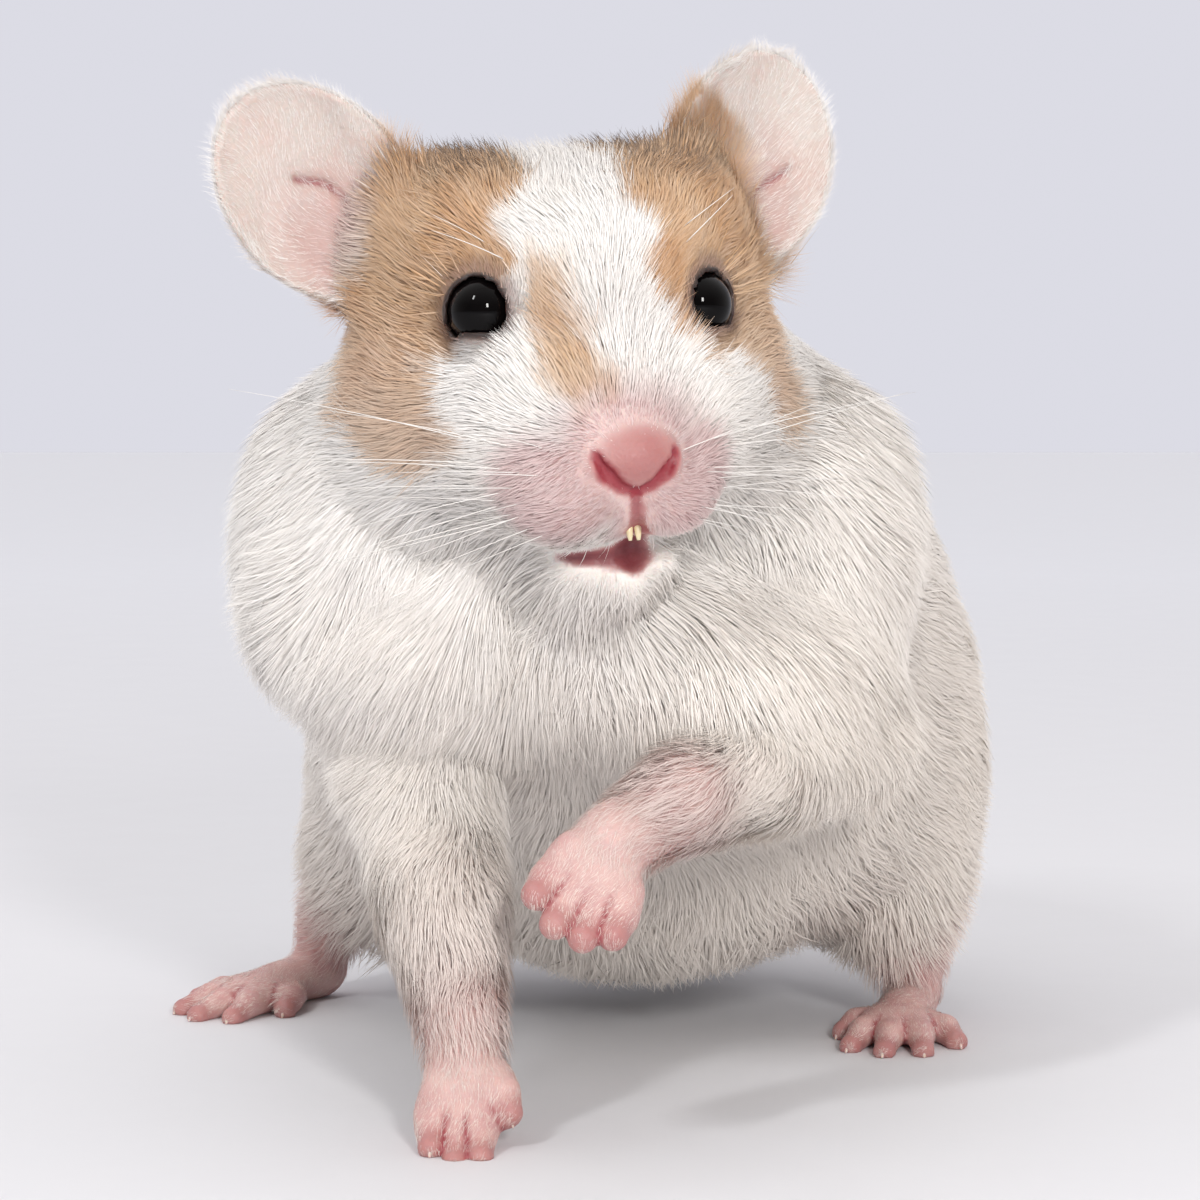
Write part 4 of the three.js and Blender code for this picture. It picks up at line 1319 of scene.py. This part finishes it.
def makeWhiskers():
    finish, tree, shader = newFinish("white whiskers")
    pale = mixed(tree, speckle(tree, 3), (0.9, 0.88, 0.85), (0.82, 0.78, 0.73))
    plug(tree, shader.inputs["Base Color"], pale)
    plug(tree, shader.inputs["Roughness"], ranged(tree, speckle(tree, 2), 0.3, 0.7, 0.25, 0.4))
    bumped(tree, shader, speckle(tree, 0.3, 1), 0.01)
    rng = np.random.default_rng(11)
    hairs = []
    for side in (-1, 1):
        starts = []
        for row in range(whiskerLook["rows"]):
            for k in range(whiskerLook["each"]):
                back, down = k / (whiskerLook["each"] - 1), row / (whiskerLook["rows"] - 1)
                root = np.array((3.2 + 3.2 * back, -15.4 + 3.6 * back, -6.4 - 4.4 * down)) + rng.normal(0, 0.15, 3)
                low, high = whiskerLook["length"]
                starts.append((root, (low + (high - low) * back) * rng.uniform(0.75, 1.1), 0.5 - 1.15 * down))
        for _ in range(whiskerLook["brow"]):
            root = np.array((6.5, -7.6, 7.6)) + rng.normal(0, 0.5, 3)
            starts.append((root, whiskerLook["browLength"] * rng.uniform(0.8, 1.2), 1.4))
        for root, length, lift in starts:
            aim = unit(np.array((1.0, 0.15 + rng.normal(0, 0.12), 0.5 * lift + rng.normal(0, 0.1))))
            steps = np.linspace(0, 1, 12)[:, None]
            sag = np.array((0, 0.28, -0.12)) * length
            curve = root + aim * length * steps + sag * steps ** 2
            sizes = whiskerLook["size"] * (1 - steps[:, 0]) ** 0.8 + 0.012
            hairs.append(tube(curve * (side, 1, 1), sizes, 5))
    points, faces = joined(hairs)
    finished(makeObject("whiskers", fromHead(points), faces), finish, "coat_white")


makeWhiskers()
print("eyes, claws, teeth and whiskers made")

# A plain pale floor, and soft lamps: (place in m, size in m, watts, colour)
studio = {
    "floorSize": 1.6,
    "floor": (0.73, 0.73, 0.755),
    "floorFar": (0.825, 0.835, 0.885),
    "room": (0.85, 0.85, 0.93),
    "roomNear": (0.87, 0.85, 0.84),
    "roomLight": {"front": 0.26, "back": 0.84, "above": 0.62},
    "lamps": {
        "front strip": ((0.108, -0.434, 0.19), (0.05, 0.09), 1.1, (1.0, 0.98, 0.96)),
        "left strip": ((-0.33, -0.47, 0.53), (0.06, 0.16), 1.45, (1.0, 1.0, 1.0)),
    },
}


def makeFloor():
    finish, tree, shader = newFinish("pale floor")
    place = tree.nodes.new("ShaderNodeTexCoord").outputs["Object"]
    length = tree.nodes.new("ShaderNodeVectorMath")
    length.operation = "LENGTH"
    tree.links.new(place, length.inputs[0])
    far = ranged(tree, length.outputs["Value"], 0.1, 0.6)
    colour = mixed(tree, far, studio["floor"], studio["floorFar"])
    colour = mixed(tree, times(tree, speckle(tree, 30, 2), 0.05), colour, (0.7, 0.7, 0.72))
    plug(tree, shader.inputs["Base Color"], colour)
    plug(tree, shader.inputs["Roughness"], ranged(tree, speckle(tree, 8), 0.3, 0.7, 0.55, 0.7))
    bumped(tree, shader, speckle(tree, 2.0), 0.03)
    reach = studio["floorSize"]
    corners = np.array([(-reach, -reach, 0), (reach, -reach, 0), (reach, reach, 0), (-reach, reach, 0)]) / mm - standPoint
    floor = makeObject("floor", corners, [(0, 1, 2, 3)])
    floor.data.materials.append(finish)


def makeLights():
    world = bpy.data.worlds.new("pale room")
    world.use_nodes = True
    tree = world.node_tree
    ways = tree.nodes.new("ShaderNodeSeparateXYZ")
    tree.links.new(tree.nodes.new("ShaderNodeTexCoord").outputs["Generated"], ways.inputs[0])
    light = studio["roomLight"]
    level = ranged(tree, ways.outputs["Y"], -0.6, 0.3, light["front"], light["back"])
    above = ranged(tree, ways.outputs["Z"], 0.3, 0.9, 0.0, light["above"])
    both = tree.nodes.new("ShaderNodeMath")
    plug(tree, both.inputs[0], level)
    plug(tree, both.inputs[1], above)
    background = tree.nodes["Background"]
    far = ranged(tree, ways.outputs["Y"], 0.3, 0.9)
    plug(tree, background.inputs["Color"], mixed(tree, far, studio["roomNear"], studio["room"]))
    plug(tree, background.inputs["Strength"], both.outputs["Value"])
    bpy.context.scene.world = world
    bpy.context.scene.view_settings.view_transform = "Standard"
    aim = np.array((0, -0.01, 0.045))
    for name, (place, size, power, colour) in studio["lamps"].items():
        lamp = bpy.data.objects.new(name, bpy.data.lights.new(name, "AREA"))
        lamp.data.shape = "RECTANGLE"
        lamp.data.size, lamp.data.size_y = size
        lamp.data.energy = power
        lamp.data.color = colour
        lamp.location = place
        lamp.rotation_euler = Vector(aim - place).to_track_quat("-Z", "Y").to_euler()
        bpy.context.scene.collection.objects.link(lamp)


cameraView = {"fromHead": (2.3, -258, -1.1), "look": 85.68, "lens": 101.25}  # mm, degrees from straight down, mm


def makeCamera():
    camera = bpy.data.objects.new("camera", bpy.data.cameras.new("camera"))
    camera.location = toFrame(headSeat + np.array(cameraView["fromHead"]))
    camera.rotation_euler = (radians(cameraView["look"]), 0, 0)
    camera.data.lens = cameraView["lens"]
    camera.data.sensor_width = 36
    camera.data.clip_start = 0.01
    bpy.context.scene.collection.objects.link(camera)
    bpy.context.scene.camera = camera


makeFloor()
makeLights()
makeCamera()
print("floor, lamps and camera placed")
